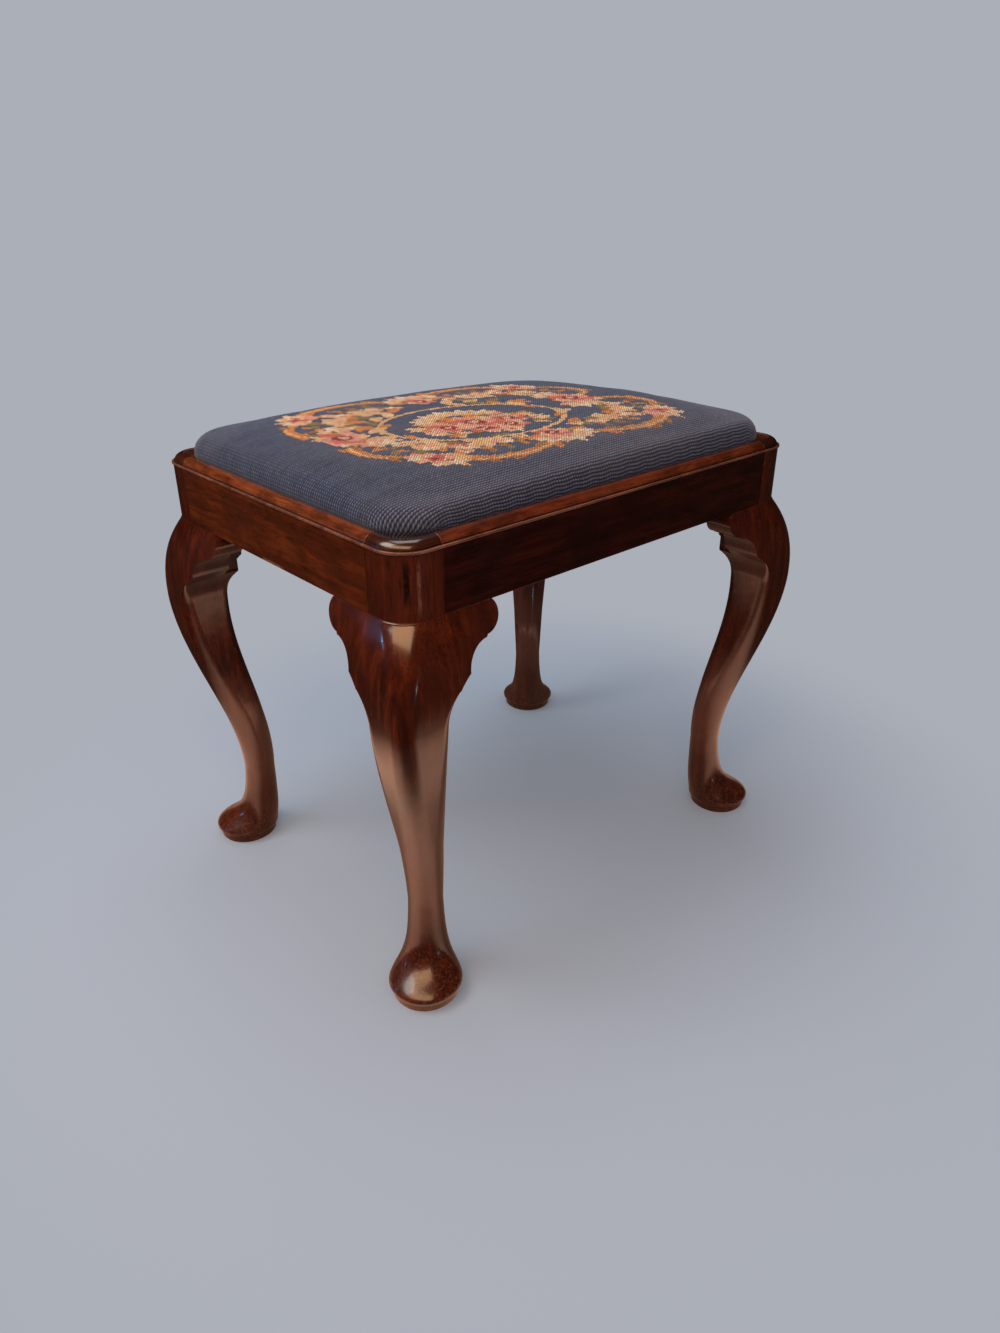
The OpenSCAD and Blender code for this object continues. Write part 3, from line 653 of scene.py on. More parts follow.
def makeRail(name, turned, side, material):
    half = ((frameD if turned else frameW) - 2 * postW) / 2
    edge = (frameW if turned else frameD) / 2
    points = np.array([(x, y, z) for z in (railZ, railTop) for y in (-edge, railT - edge) for x in (-half, half)])
    if turned:
        points = swapXY(points)
    points[:, 0 if turned else 1] *= side
    faces = [(0, 1, 3, 2), (4, 6, 7, 5), (0, 4, 5, 1), (2, 3, 7, 6), (0, 2, 6, 4), (1, 5, 7, 3)]
    obj = newPiece(name, points, faces, material, "frame", [name])
    dress(obj, 50, (rail["soften"],))


makeRail("rail_front", False, 1, shadedRailWood)
makeRail("rail_back", False, -1, shadedRailWood)
makeRail("rail_left", True, 1, sideRailWood)
makeRail("rail_right", True, -1, sideRailWood)
print("rails made")


# Rim: a thumb moulding over a thin lip, in straight lengths and mitred corner halves
rim = {
    "lipOut": 1.25,
    "lipH": 2,
    "quirk": 0.8,
    "quirkDrop": 0.7,
    "darkTo": 163,         # degrees round the moulding where the painted shade from the quirk ends
    "flat": 1.5,
    "jointSoften": 0.3,
}


# Distance in from the rail's face and height above it, with each side's material: 0 round, 1 painted shade in the
# quirk, 2 pale lip
def rimProfile():
    r = rimW - rim["flat"] - rim["quirk"]
    out, top = -rim["lipOut"], rim["lipH"]
    angles = [172 - 82 * i / 18 for i in range(19)]
    points = [(out + 0.3, 0), (out, 0.3), (out, top - 0.5), (out + 0.15, top - 0.15), (out + 0.5, top),
              (rim["quirk"] - 0.2, top), (rim["quirk"], top - rim["quirkDrop"])]
    points += [(rimW - rim["flat"] + r * math.cos(math.radians(a)), rimH - r + r * math.sin(math.radians(a)))
               for a in angles]
    points += [(rimW - 0.5, rimH), (rimW, rimH - 0.5), (rimW, 0)]
    return points, [2] * 5 + [1] * 2 + [int(a > rim["darkTo"]) for a in angles] + [2, 2, 0]


# Stations are (x, y) on the rail's face with the unit direction inwards
def sweepRim(name, stations, place, material):
    profile, parts = rimProfile()
    rings = [[(x + a * nx, y + a * ny, railTop + b) for a, b in profile] for x, y, nx, ny in stations]
    obj = newPiece(name, place(np.concatenate(rings)), loftFaces(len(rings), len(profile)), material, "frame",
                   [name])
    for extra in (quirkShade, lipWood):
        obj.data.materials.append(extra)
    for face in obj.data.polygons:
        if face.index < (len(rings) - 1) * len(profile):
            face.material_index = parts[face.index % len(profile)]
    dress(obj, 38, (rim["jointSoften"], 1, 75, 2))


def makeRims():
    half = frameW / 2 - postW
    straight = [(x, -frameD / 2, 0, 1) for x in np.linspace(-half, half, 9)]
    sweepRim("rim_front", straight, lambda p: p, shadedRimWood)
    sweepRim("rim_back", straight, lambda p: p * [1, -1, 1], shadedRimWood)
    half = frameD / 2 - postW
    straight = [(-frameW / 2, y, 1, 0) for y in np.linspace(-half, half, 9)]
    sweepRim("rim_left", straight, lambda p: p, rimWoodY)
    sweepRim("rim_right", straight, lambda p: p * [-1, 1, 1], rimWoodY)
    r = leg["cornerR"]
    stations = [(x, 0, 0, 1) for x in np.linspace(postW, r, 4)]
    stations += [(r + r * math.cos(a), r + r * math.sin(a), -math.cos(a), -math.sin(a))
                 for a in arcAngles(270, 225, 12)[1:]]
    for corner in corners:
        name = "rim_corner_" + corner[0]
        sweepRim(name + "_long", stations, lambda p: atCorner(p, corner), rimCornerWood)
        sweepRim(name + "_short", stations, lambda p: atCorner(swapXY(p), corner), rimCornerWood)


makeRims()
print("rim made")


# Pieces whose solids are right as they are: blocks, screws and the seat's own frame.
# Each is copied with its arrises softened and stands for its solid.
worked = {"wood": 0.6, "screw": 0.2}


def softenedCopy(node, material, width, body):
    obj = bpy.data.objects.new(node + "_worked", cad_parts[node].data.copy())
    bpy.context.scene.collection.objects.link(obj)

    def clean(work):
        weld(work)
        bmesh.ops.dissolve_limit(work, angle_limit=math.radians(1), verts=work.verts, edges=work.edges)

    rework(obj, clean)
    obj.data.materials.clear()
    obj.data.materials.append(material)
    softenEdges(obj, width, 2, 60)
    smoothByAngle(obj, 40)
    finishPiece(obj, body, [node])


for corner in corners:
    softenedCopy("corner_block_" + corner[0], beechX, worked["wood"], "frame")
softenedCopy("corner_block_screws", steel, worked["screw"], "frame")
for name, material in (("front", beechX), ("back", beechX), ("left", beechY), ("right", beechY)):
    softenedCopy("seat_rail_" + name, material, worked["wood"], "seat")
print("blocks and seat frame made")


# Webbing: jute strips interlaced across the seat frame, with folded ends tacked down
webbing = {
    "width": 50,
    "thick": 1.2,
    "lift": 1.5,           # how high one strip goes over another
    "rise": 41,            # mm of its length in which it gets there
    "thinEdge": 0.25,      # share of the thickness missing at the edges
    "step": 4,
    "fold": 22,
    "foldWidth": 49.4,
}


def stripCentres(prefix, count, axis):
    boxes = [boxOf(prefix + str(i + 1)) for i in range(count)]
    return [(low[axis] + high[axis]) / 2 for low, high in boxes], boxes[0][1][1 - axis]


def makeStrip(name, centre, half, crossings, odd, turned):
    def height(x):
        gaps = [min(1, abs(x - c) / webbing["rise"]) for i, c in enumerate(crossings) if (i + odd) % 2 == 0]
        return max(webbing["lift"] * (math.cos(math.pi * gap) + 1) / 2 for gap in gaps)

    def lay(pieceName, rings, replaced):
        points = np.concatenate(rings) + [0, centre, 0]
        points = swapXY(points) if turned else points
        piece = newPiece(pieceName, points, loftFaces(len(rings), len(rings[0])), juteWebbing, "seat", replaced)
        outwardNormals(piece)
        return piece

    width, thick = webbing["width"], webbing["thick"]
    across = np.linspace(-0.5, 0.5, 15)
    rings = []
    for x in np.linspace(-half, half, int(2 * half / webbing["step"])):
        level = deckZ + height(x)
        rings.append([(x, w * width, level + 0.05) for w in across]
                     + [(x, w * width, level + thick * (1 - webbing["thinEdge"] * (abs(w) > 0.49)))
                        for w in across[::-1]])
    smoothByAngle(lay(name + "_woven", rings, [name]), 40)
    for end, letter in ((-1, "a"), (1, "b")):   # the end is folded back on itself
        x0, x1 = end * (half - webbing["fold"]), end * half
        low, high = deckZ + thick + 0.02, deckZ + 2 * thick
        outline = [(x0, low), (x0, high - 0.3), (x0 + end * 0.4, high), (x1 - end * 0.5, high),
                   (x1 + end * 0.1, low)]
        rings = [[(x, w * webbing["foldWidth"] / 2, z) for x, z in outline] for w in (-1, 1)]
        lay(name + "_fold_" + letter, rings, ())


def makeWebbing():
    longY, longHalf = stripCentres("webbing_long_", 3, 1)
    shortX, shortHalf = stripCentres("webbing_short_", 4, 0)
    for i, y in enumerate(longY):
        makeStrip("webbing_long_%d" % (i + 1), y, longHalf, shortX, i, False)
    for i, x in enumerate(shortX):
        makeStrip("webbing_short_%d" % (i + 1), x, shortHalf, longY, i + 1, True)


makeWebbing()


# Hessian over the webbing, one flat sheet with rounded corners
hessian = {"cornerR": 34}


def makeHessian():
    low, high = boxOf("hessian")
    r = hessian["cornerR"]
    outline = [(sx * (high[0] - r) + r * math.cos(a), sy * (high[1] - r) + r * math.sin(a))
               for sx, sy, start in ((1, 1, 0), (-1, 1, 90), (-1, -1, 180), (1, -1, 270))
               for a in arcAngles(start, start + 90, 8)]
    points = [(x, y, z) for z in (low[2], high[2]) for x, y in outline]
    obj = newPiece("hessian_sheet", points, loftFaces(2, len(outline)), hessianCloth, "seat", ["hessian"])
    outwardNormals(obj)


makeHessian()
print("webbing and hessian made")


# Seat pad: curled hair under the cover, swelled by a short cloth simulation
pad = {
    "cornerR": {(1, -1): 46, (1, 1): 46, (-1, 1): 46, (-1, -1): 42},   # by the signs of x and y
    "inset": 1.2,          # how far the cover's wall lies inside the solid's
    "coverT": 1.6,
    "edgePower": 14,       # how suddenly the top rolls over at the edge
    "topPower": 2,
    "twist": -3.6,         # unevenness of the hand-laid hair, mm at the corners
    "corners": -5.7,
    "tilt": -1.2,
    "wideZ": railTop + rimH + 2,
    "peak": crownZ - 0.4,
    "room": 3,             # mm that the pad starts lower, because it swells
    "voxel": 5,
    "pressure": 4,
    "stiffness": 25,
    "cap": 4,              # mm that a point may move in the simulation
    "frames": 20,
}
halfW, halfD = seatHigh[0], seatHigh[1]
coverW, coverD = halfW - pad["inset"], halfD - pad["inset"]


def cornerRadius(x, y):
    return pad["cornerR"][(1 if x > 0 else -1, 1 if y > 0 else -1)]


# 0 in the middle of the seat, 1 on its rounded outline
def outlineShare(x, y, w, d):
    r = cornerRadius(x, y)
    low, high = 0.0, 1.6
    for _ in range(26):
        s = (low + high) / 2
        qx, qy = abs(x) - (w * s - r * s), abs(y) - (d * s - r * s)
        inside = math.hypot(max(qx, 0), max(qy, 0)) + min(max(qx, qy), 0) <= r * s
        low, high = (low, s) if inside else (s, high)
    return (low + high) / 2


def topHeight(share, peak, x=0.0, y=0.0):
    across, deep = x / halfW, y / halfD
    rise = peak - pad["wideZ"] + pad["twist"] * across * deep + pad["corners"] * (across * deep) ** 2
    rise += pad["tilt"] * deep
    return pad["wideZ"] + rise * (1 - min(1.0, share) ** pad["edgePower"]) ** (1 / pad["topPower"])


# A ring of the pad; towards the middle the rounded rectangle turns into an oval
def padRing(share, w, d, z, peak=None, steps=10, sideSteps=14):
    radii = [pad["cornerR"][signs] for signs in ((1, -1), (1, 1), (-1, 1), (-1, -1))]
    ring = []
    for turn, (half, reach) in enumerate(((w, d), (d, w), (w, d), (d, w))):
        a, last, r = math.pi / 2 * turn, radii[turn - 1], radii[turn]
        side = [(x, -reach) for x in np.linspace(last - half, half - r, sideSteps, endpoint=False)]
        arc = [(half - r + r * math.sin(b), r - reach - r * math.cos(b))
               for b in np.linspace(0, math.pi / 2, steps, endpoint=False)]
        ring += [(x * math.cos(a) - y * math.sin(a), x * math.sin(a) + y * math.cos(a)) for x, y in side + arc]
    oval = (1 - share) ** 0.45
    points = []
    for x, y in ring:
        k = share * (1 - oval + oval / math.hypot(x / w, y / d))
        points.append((x * k, y * k, topHeight(share, peak, x * k, y * k) if peak else z))
    return points


# The pad before it is swelled: walls, a rolled edge and a gently crowned top
def startPad():
    w, d = coverW - pad["coverT"], coverD - pad["coverT"]
    bottom, peak = seatLow[2] + 3, pad["peak"] - pad["coverT"] - pad["room"]
    rings = [padRing(1, w - 2, d - 2, bottom), padRing(1, w - 2, d - 2, bottom + 5),
             padRing(1, w - 0.6, d - 0.6, pad["wideZ"] - 1)]
    for share in (1, 0.9995, 0.998, 0.994, 0.985, 0.97, 0.945, 0.91, 0.86, 0.8, 0.72, 0.62, 0.5, 0.36, 0.2, 0.06):
        rings.append(padRing(share, w, d, 0, peak))
    return np.concatenate(rings), loftFaces(len(rings), len(rings[0]))


def swellPad():
    points, faces = startPad()
    obj = newPiece("seat_pad", points, faces, hairPad, "seat", ["stuffing"])
    outwardNormals(obj)
    remesh = obj.modifiers.new("even", "REMESH")
    remesh.mode = "VOXEL"
    remesh.voxel_size = pad["voxel"] / 1000
    applyModifiers(obj)
    before = np.array([v.co for v in obj.data.vertices])
    cloth = obj.modifiers.new("cloth", "CLOTH")
    settings = cloth.settings
    settings.use_pressure = True
    settings.uniform_pressure_force = pad["pressure"]
    settings.effector_weights.gravity = 0
    settings.quality = 6
    settings.tension_stiffness = settings.compression_stiffness = pad["stiffness"]
    cloth.collision_settings.use_self_collision = False
    cloth.point_cache.frame_end = pad["frames"]
    scene = bpy.context.scene
    for f in range(1, pad["frames"] + 1):
        scene.frame_set(f)
    swelled = obj.evaluated_get(bpy.context.evaluated_depsgraph_get()).data
    move = np.array([v.co for v in swelled.vertices]) - before
    scene.frame_set(1)
    obj.modifiers.clear()
    far = np.linalg.norm(move, axis=1, keepdims=True)
    move *= np.minimum(1, pad["cap"] / 1000 / np.maximum(far, 1e-9))
    rise = np.clip((before[:, 2:3] * 1000 - (pad["wideZ"] - 4)) / 12, 0, 1)   # the frame holds the sides
    after = before + move * rise
    obj.data.vertices.foreach_set("co", after.ravel())
    print("pad swelled by up to %.1f mm, crown at %.1f mm" % (far.max() * 1000, after[:, 2].max() * 1000))
    smooth = obj.modifiers.new("smooth", "SMOOTH")
    smooth.iterations = 6
    smooth.factor = 0.5
    applyModifiers(obj)
    for face in obj.data.polygons:
        face.use_smooth = True
    obj.data.update()
    return obj


seatPad = swellPad()


# Cover: tent stitch on canvas, drawn over the pad. Every stitch is its own small bead.
cover = {
    "pitch": 3.0,          # mm from stitch to stitch
    "split": 2,            # faces along each side of a stitch
    "ribHeight": 0.85,
    "notch": 0.4,          # a rib's height between two stitches, as a share of it
    "lean": 0.3,           # how far a stitch leans along its row, as a share of the pitch
    "uneven": 0.09,        # spread of the stitches' heights
    "shades": 0.07,        # the same of their brightness
    "darkRows": 0.18,      # share of the rows worked from a darker hank
    "wall": 9.8,           # how far the cover runs down the frame's side
    "tuck": 2.2,           # how far its edge is drawn in
    "tackPitch": 45,
    "pull": 1.3,           # how far the rows dip at each tack
    "pullReach": 22,
    "seed": 7,
}


# Distance outside the cover's rounded outline, negative inside, the nearest point of it and the way out
def edgeDistance(x, y):
    r = cornerRadius(x, y)
    ax, ay = abs(x), abs(y)
    qx, qy = ax - (coverW - r), ay - (coverD - r)
    if qx > 0 and qy > 0:
        n = math.hypot(qx, qy)
        nx, ny, dist = qx / n, qy / n, n - r
    elif ax - coverW > ay - coverD:
        nx, ny, dist = 1.0, 0.0, ax - coverW
    else:
        nx, ny, dist = 0.0, 1.0, ay - coverD
    nx, ny = math.copysign(nx, x), math.copysign(ny, y)
    return dist, x - nx * dist, y - ny * dist, nx, ny


# Length of canvas laid over the crown, and the plan distance from the middle that it reaches
def arcMap(half):
    plan = np.concatenate([np.linspace(0, half * 0.9, 60, endpoint=False),
                           half * (1 - 0.1 * np.linspace(1, 0, 160) ** 2.5)])
    heights = np.array([topHeight(p / half, pad["peak"]) for p in plan])
    run = np.concatenate([[0], np.cumsum(np.hypot(np.diff(plan), np.diff(heights)))])
    return run, plan


# Places of the canvas's crossings, one for each stitch corner, on a start surface; how firmly the edge
# is held there; and the crossings past the cover's edge
def canvasPoints():
    (runX, planX), (runY, planY) = arcMap(coverW), arcMap(coverD)
    us, vs = (np.arange(-n, n + 1) * cover["pitch"]
              for n in (int((run[-1] + cover["wall"]) / cover["pitch"]) for run in (runX, runY)))

    def flat(value, run, plan, half):
        a = abs(value)
        place = np.interp(a, run, plan) if a <= run[-1] else half + a - run[-1]
        return math.copysign(place, value)

    grid = np.zeros((len(us), len(vs), 3))
    hold = np.ones((len(us), len(vs), 1))
    spare = np.zeros((len(us), len(vs)), dtype=bool)
    for i, u in enumerate(us):
        for j, v in enumerate(vs):
            fall = math.exp(-max(0, runY[-1] - abs(v)) / cover["pullReach"])
            dip = cover["pull"] * fall * math.cos(2 * math.pi * u / cover["tackPitch"])
            x = flat(u, runX, planX, coverW)
            y = flat(v + math.copysign(dip, v) if v else v, runY, planY, coverD)
            dist, ex, ey, nx, ny = edgeDistance(x, y)
            if dist > 0:
                spare[i, j] = dist > cover["wall"]
                slip = cover["tuck"] * min(1, dist / 5) ** 1.5 + max(0, dist - cover["wall"])
                grid[i, j] = ex - nx * slip, ey - ny * slip, pad["wideZ"] - min(dist, cover["wall"])
            else:
                share = outlineShare(x, y, coverW, coverD)
                grid[i, j] = x, y, topHeight(share, pad["peak"], x, y)
                hold[i, j] = clamp((share - 0.88) / 0.08)
    return us, vs, grid, hold, spare


def unit(vectors):
    return vectors / np.maximum(np.linalg.norm(vectors, axis=2, keepdims=True), 1e-9)


# Draws the canvas tight over the swelled pad; its edge is held by the frame
def layOnPad(grid, hold):
    surface = BVHTree.FromObject(seatPad, bpy.context.evaluated_depsgraph_get())
    normal = unit(np.cross(np.gradient(grid, axis=0), np.gradient(grid, axis=1)))
    laid = grid.copy()
    for i in range(grid.shape[0]):
        for j in range(grid.shape[1]):
            if hold[i, j] == 1:
                continue
            n = Vector(normal[i, j])
            hit = surface.ray_cast(Vector(grid[i, j] / 1000) + n * 0.02, -n, 0.05)[0]
            if hit is not None:
                laid[i, j] = np.array(hit + n * pad["coverT"] / 1000) * 1000
    laid = grid * hold + laid * (1 - hold)
    # the canvas is stiff, so small bumps in the pad don't show through it
    for _ in range(8):
        inner = (laid[:-2, 1:-1] + laid[2:, 1:-1] + laid[1:-1, :-2] + laid[1:-1, 2:]) / 4
        laid[1:-1, 1:-1] += 0.5 * (inner - laid[1:-1, 1:-1]) * (1 - hold[1:-1, 1:-1])
    return laid


# Needlework colours
threads = {
    "ground": "#4d5977",
    "groundDark": "#455069",
    "gold": "#de8c3e",
    "paleGold": "#efbe84",
    "ochre": "#ae7238",
    "cream": "#f0c69a",
    "white": "#f4dcbe",
    "pink": "#f0a690",
    "rose": "#d86f5c",
    "red": "#93302a",
    "leaf": "#8f7f4c",
    "leafDark": "#5f5a3c",
}


# The pattern, worked out stitch by stitch: shapes laid one over another in plan, in mm
class Needlework:
    def __init__(self, xs, ys):
        self.x, self.y = xs, ys
        self.colour = np.empty(xs.shape, dtype=object)
        self.colour[:] = "ground"

    # a leaf or petal from its base at (cx, cy), pointing along angle
    def petal(self, cx, cy, length, width, angle, name):
        a = math.radians(angle)
        u = (self.x - cx) * math.cos(a) + (self.y - cy) * math.sin(a)
        v = -(self.x - cx) * math.sin(a) + (self.y - cy) * math.cos(a)
        t = np.clip(u / length, 0, 1)
        half = width / 2 * np.sin(math.pi * t ** 0.8) ** 0.75
        self.colour[(u > 0) & (u < length) & (np.abs(v) < half)] = name

    def disc(self, cx, cy, r, name):
        self.colour[(self.x - cx) ** 2 + (self.y - cy) ** 2 < r * r] = name

    # a line through points, thinner at its ends by taper
    def stroke(self, points, width, name, taper=0.0):
        points = np.array(points, float)
        count = len(points) - 1
        for k in range(count):
            a, run = points[k], points[k + 1] - points[k]
            t = np.clip(((self.x - a[0]) * run[0] + (self.y - a[1]) * run[1]) / max(run @ run, 1e-9), 0, 1)
            gap = np.hypot(self.x - a[0] - t * run[0], self.y - a[1] - t * run[1])
            middle = abs(2 * (k + 0.5) / count - 1)
            self.colour[gap < width / 2 * (1 - taper * middle ** 2)] = name

    # a leafy band with a pale back; each tip is a place along it and a turn from its run
    def scroll(self, points, width, tips, flip):
        points = np.array(points, float)
        last = len(points) - 1
        self.stroke(points, width, "gold", 0.4)
        for place, turn in tips:
            k = int(place * last)
            run = points[min(k + 1, last)] - points[max(k - 1, 0)]
            a = math.degrees(math.atan2(run[1], run[0])) + flip * turn
            self.petal(*points[k], 1.9 * width, 0.75 * width, a, "gold" if abs(turn) < 90 else "ochre")
        self.stroke(points[2:-2] * 1.012, width * 0.34, "paleGold", 0.5)

    # leaves in pairs along a stem
    def spray(self, points, size, names):
        points = np.array(points, float)
        for k in range(1, len(points)):
            a = math.degrees(math.atan2(*(points[k] - points[k - 1])[::-1]))
            for side, name in ((1, names[k % len(names)]), (-1, names[(k + 1) % len(names)])):
                self.petal(*points[k], size, size * 0.52, a + side * (38 + 10 * (k % 2)), name)
        self.petal(*points[-1], size * 1.1, size * 0.5, a, names[0])

    def rose(self, cx, cy, r, turn=0):
        for k in range(6):
            self.petal(cx, cy, r * 1.15, r * 0.95, turn + 60 * k, ("cream", "pink", "rose")[k % 3])
        for k in range(5):
            self.petal(cx, cy, r * 0.88, r * 0.72, turn + 30 + 72 * k, "rose" if k % 2 else "pink")
        self.disc(cx, cy, r * 0.42, "red")
        self.petal(cx - r * 0.1, cy - r * 0.25, r * 0.6, r * 0.34, turn + 60, "pink")
        self.disc(cx + r * 0.05, cy + r * 0.05, r * 0.15, "cream")

    # a flower seen from the side, opening along angle
    def bloom(self, cx, cy, r, angle, main="cream", heart="rose"):
        for k, name in ((-2, "pink"), (2, "paleGold"), (-1, main), (1, main), (0, "white")):
            self.petal(cx, cy, r * (1.25 - 0.1 * abs(k)), r * 0.58, angle + 32 * k, name)
        self.petal(cx, cy, r * 0.62, r * 0.34, angle, heart)


def arcOf(cx, cy, rx, ry, start, end, count=18):
    return [(cx + rx * math.cos(math.radians(a)), cy + ry * math.sin(math.radians(a)))
            for a in np.linspace(start, end, count)]


# The cartouche: paired scrolls round an oval, roses at the ends, flowers at the corners, leaves between
pattern = {
    "shift": (-7, -4),             # mm the whole pattern sits off the middle
    "scale": (0.925, 0.94),
    "skew": (0.06, 0.037),         # how far the canvas is pulled out of square
    "middle": (-22, -13),          # the oval and the bouquet, against the rest
    "ends": (-13, 8),              # the same for the roses at the ends
    "oval": (101, 75),
    "corner": (141, 99),
}


# One quarter of the cartouche, turned over by the signs sx and sy
def drawQuarter(work, sx, sy):
    def at(points):
        return [(sx * x, sy * y) for x, y in points]

    def turned(a):
        return math.degrees(math.atan2(sy * math.sin(math.radians(a)), sx * math.cos(math.radians(a))))

    # scrolls along the front and back, each with a curled end, and at the ends
    work.scroll(at(arcOf(77, 112, 60, 29, 158, -4, 20) + [(131, 104), (124, 107)]), 12.5,
                [(0.12, 28), (0.3, -150), (0.42, 26), (0.58, -32), (0.7, 152), (0.84, 30), (0.55, 154)], sx * sy)
    work.scroll(at(arcOf(150, 50, 37, 38, 62, -70, 16) + [(154, 20)]), 11.5,
                [(0.2, 152), (0.38, -30), (0.55, 28), (0.75, -152)], sx * sy)
    # leaves between the scrolls and the oval
    for stem, size, names in (
            ([(20, 84), (38, 88), (56, 91), (74, 91)], 25, ("paleGold", "gold", "leaf", "cream")),
            ([(134, 22), (135, 40), (131, 56), (122, 70)], 25, ("gold", "cream", "leaf", "paleGold")),
            ([(80, 92), (98, 88), (112, 78)], 27, ("cream", "gold", "ochre")),
            ([(34, 104), (52, 110), (70, 114), (90, 113), (108, 106)], 15, ("ochre", "gold", "leaf")),
            ([(158, 30), (163, 46), (160, 62), (150, 76)], 15, ("leaf", "ochre", "gold"))):
        work.spray(at(stem), size, names)
    for x, y, r, a, main, heart in ((64, 92, 15, 100, "cream", "pink"), (100, 86, 17, 60, "cream", "rose"),
                                    (122, 68, 17, 30, "paleGold", "pink"), (134, 46, 14, 10, "cream", "ochre"),
                                    (40, 88, 12, 110, "paleGold", "rose"), (112, 100, 11, 60, "pink", "rose")):
        work.bloom(sx * x, sy * y, r, turned(a), main, heart)
    # corner flowers, pointing out between the scrolls
    bx, by = pattern["corner"]
    for a, size, name in ((112, 34, "gold"), (-24, 30, "gold"), (88, 44, "paleGold"), (8, 32, "leaf"),
                          (70, 34, "leaf")):
        work.petal(sx * bx, sy * by, size, 11, turned(a), name)
    for x, y, r, a, main, heart in ((-2, -2, 31, 50, "pink", "rose"), (2, 12, 20, 84, "cream", "rose"),
                                    (10, -2, 18, 0, "cream", "pink")):
        work.bloom(sx * (bx + x), sy * (by + y), r, turned(a), main, heart)
    work.disc(sx * (bx + 10), sy * (by + 8), 7.5, "rose")
    work.disc(sx * (bx + 9), sy * (by + 7), 3.4, "red")


def drawPattern(work):
    for sx in (1, -1):
        for sy in (1, -1):
            drawQuarter(work, sx, sy)
    # inner oval
    ovalX, ovalY = pattern["oval"]
    mx, my = pattern["middle"]
    for sx in (1, -1):
        work.spray([(mx + sx * x, my + y) for x, y in ((16, 90), (38, 88), (60, 80), (80, 68), (96, 52))], 25,
                   ("gold", "cream", "paleGold", "leaf"))
    work.stroke(arcOf(mx, my, ovalX, ovalY, 0, 360, 73), 5, "paleGold")
    for a in (24, 156, 204, 336):
        alongX, alongY = ovalX * math.cos(math.radians(a)), ovalY * math.sin(math.radians(a))
        tangent = math.degrees(math.atan2(ovalY * math.cos(math.radians(a)), -ovalX * math.sin(math.radians(a))))
        for turn, name in ((0, "paleGold"), (150, "gold"), (-34, "cream")):
            work.petal(mx + alongX, my + alongY, 24, 10, tangent + turn, name)
        work.disc(mx + alongX, my + alongY, 5.5, "cream")
    # roses at the ends
    ex, ey = pattern["ends"]
    for sx in (1, -1):
        x = sx * 152 + ex
        for a, length in ((60, 40), (120, 34), (240, 36), (300, 42), (180, 26), (90, 46), (270, 50)):
            work.petal(x - 3 * sx, ey, length, 13, a if sx > 0 else 180 - a, "leaf" if a in (60, 300) else "gold")
        work.bloom(x - 10 * sx, ey + 21, 20, 100 if sx > 0 else 80, "cream", "ochre")
        work.bloom(x - 14 * sx, ey - 22, 27, -112 if sx > 0 else -72, "cream", "pink")
        work.bloom(x + 9 * sx, ey - 16, 14, -56 if sx > 0 else -124, "pink", "rose")
        work.rose(x, ey, 24, 20 * sx)
    # clusters front and back
    for sy in (1, -1):
        x = 7 * sy
        for a in (0, 180, 28, 152, 62, 118):
            work.petal(x, sy * 108, 40, 13, a * sy, "leaf" if a in (28, 152) else "gold")
        for side, tilt in ((-18, 34), (18, -34)):
            work.bloom(x + side, sy * 116, 18, (90 + tilt) * sy, "white", "paleGold")
        work.bloom(x, sy * 117, 25, 90 * sy, "cream", "pink")
        work.rose(x, sy * 105, 17, 15)
    # centre bouquet
    work.x, work.y = work.x - mx, work.y - my
    for a, size in ((0, 66), (24, 58), (156, 60), (180, 72), (204, 60), (336, 58), (60, 52), (120, 56), (250, 54),
                    (290, 54)):
        work.petal(0, -4, size, 18, a, "leaf" if a in (24, 204) else "gold")
    for stem, size, names in (([(28, 6), (42, 2), (54, -4)], 19, ("paleGold", "leafDark", "gold")),
                              ([(-30, 8), (-46, 8), (-60, 4)], 20, ("cream", "leaf", "gold")),
                              ([(-22, -36), (-36, -42), (-50, -42)], 17, ("gold", "leafDark", "cream")),
                              ([(28, -38), (42, -42), (52, -40)], 17, ("paleGold", "leaf"))):
        work.spray(stem, size, names)
    for x, y, a in ((-34, 20, 140), (-20, 30, 112), (-2, 34, 92), (14, 28, 70), (28, 18, 46)):
        work.bloom(x, y, 21, a, "cream", "paleGold")
    for x, y, r, turn in ((-42, -10, 21, 10), (34, -12, 19, 50), (-16, -34, 20, 80), (16, -36, 18, 20),
                          (-4, -6, 27, 30)):
        work.rose(x, y, r, turn)
    work.bloom(-60, -20, 16, 205, "cream", "pink")
    work.bloom(54, -26, 15, -25, "cream", "rose")
    work.bloom(0, -50, 15, -88, "cream", "rose")


# The colour of each stitch, from the place of its middle on the flat canvas
def stitchColours(us, vs, dice):
    x, y = np.meshgrid((us[:-1] + us[1:]) / 2 - pattern["shift"][0], (vs[:-1] + vs[1:]) / 2 - pattern["shift"][1],
                       indexing="ij")
    work = Needlework((x + pattern["skew"][0] * y) / pattern["scale"][0],
                      (y + pattern["skew"][1] * x) / pattern["scale"][1])
    drawPattern(work)
    palette = {name: np.array(linear(code)[:3]) for name, code in threads.items()}
    colour = np.zeros(x.shape + (3,))
    for name, value in palette.items():
        colour[work.colour == name] = value
    dyeLot = dice.random(x.shape[1])[None, :] < cover["darkRows"]
    colour[(work.colour == "ground") & dyeLot] = palette["groundDark"]
    return colour * dice.normal(1, cover["shades"], x.shape + (1,)).clip(0.75, 1.25)


def perFace(values):
    return np.repeat(np.repeat(values, cover["split"], axis=0), cover["split"], axis=1)


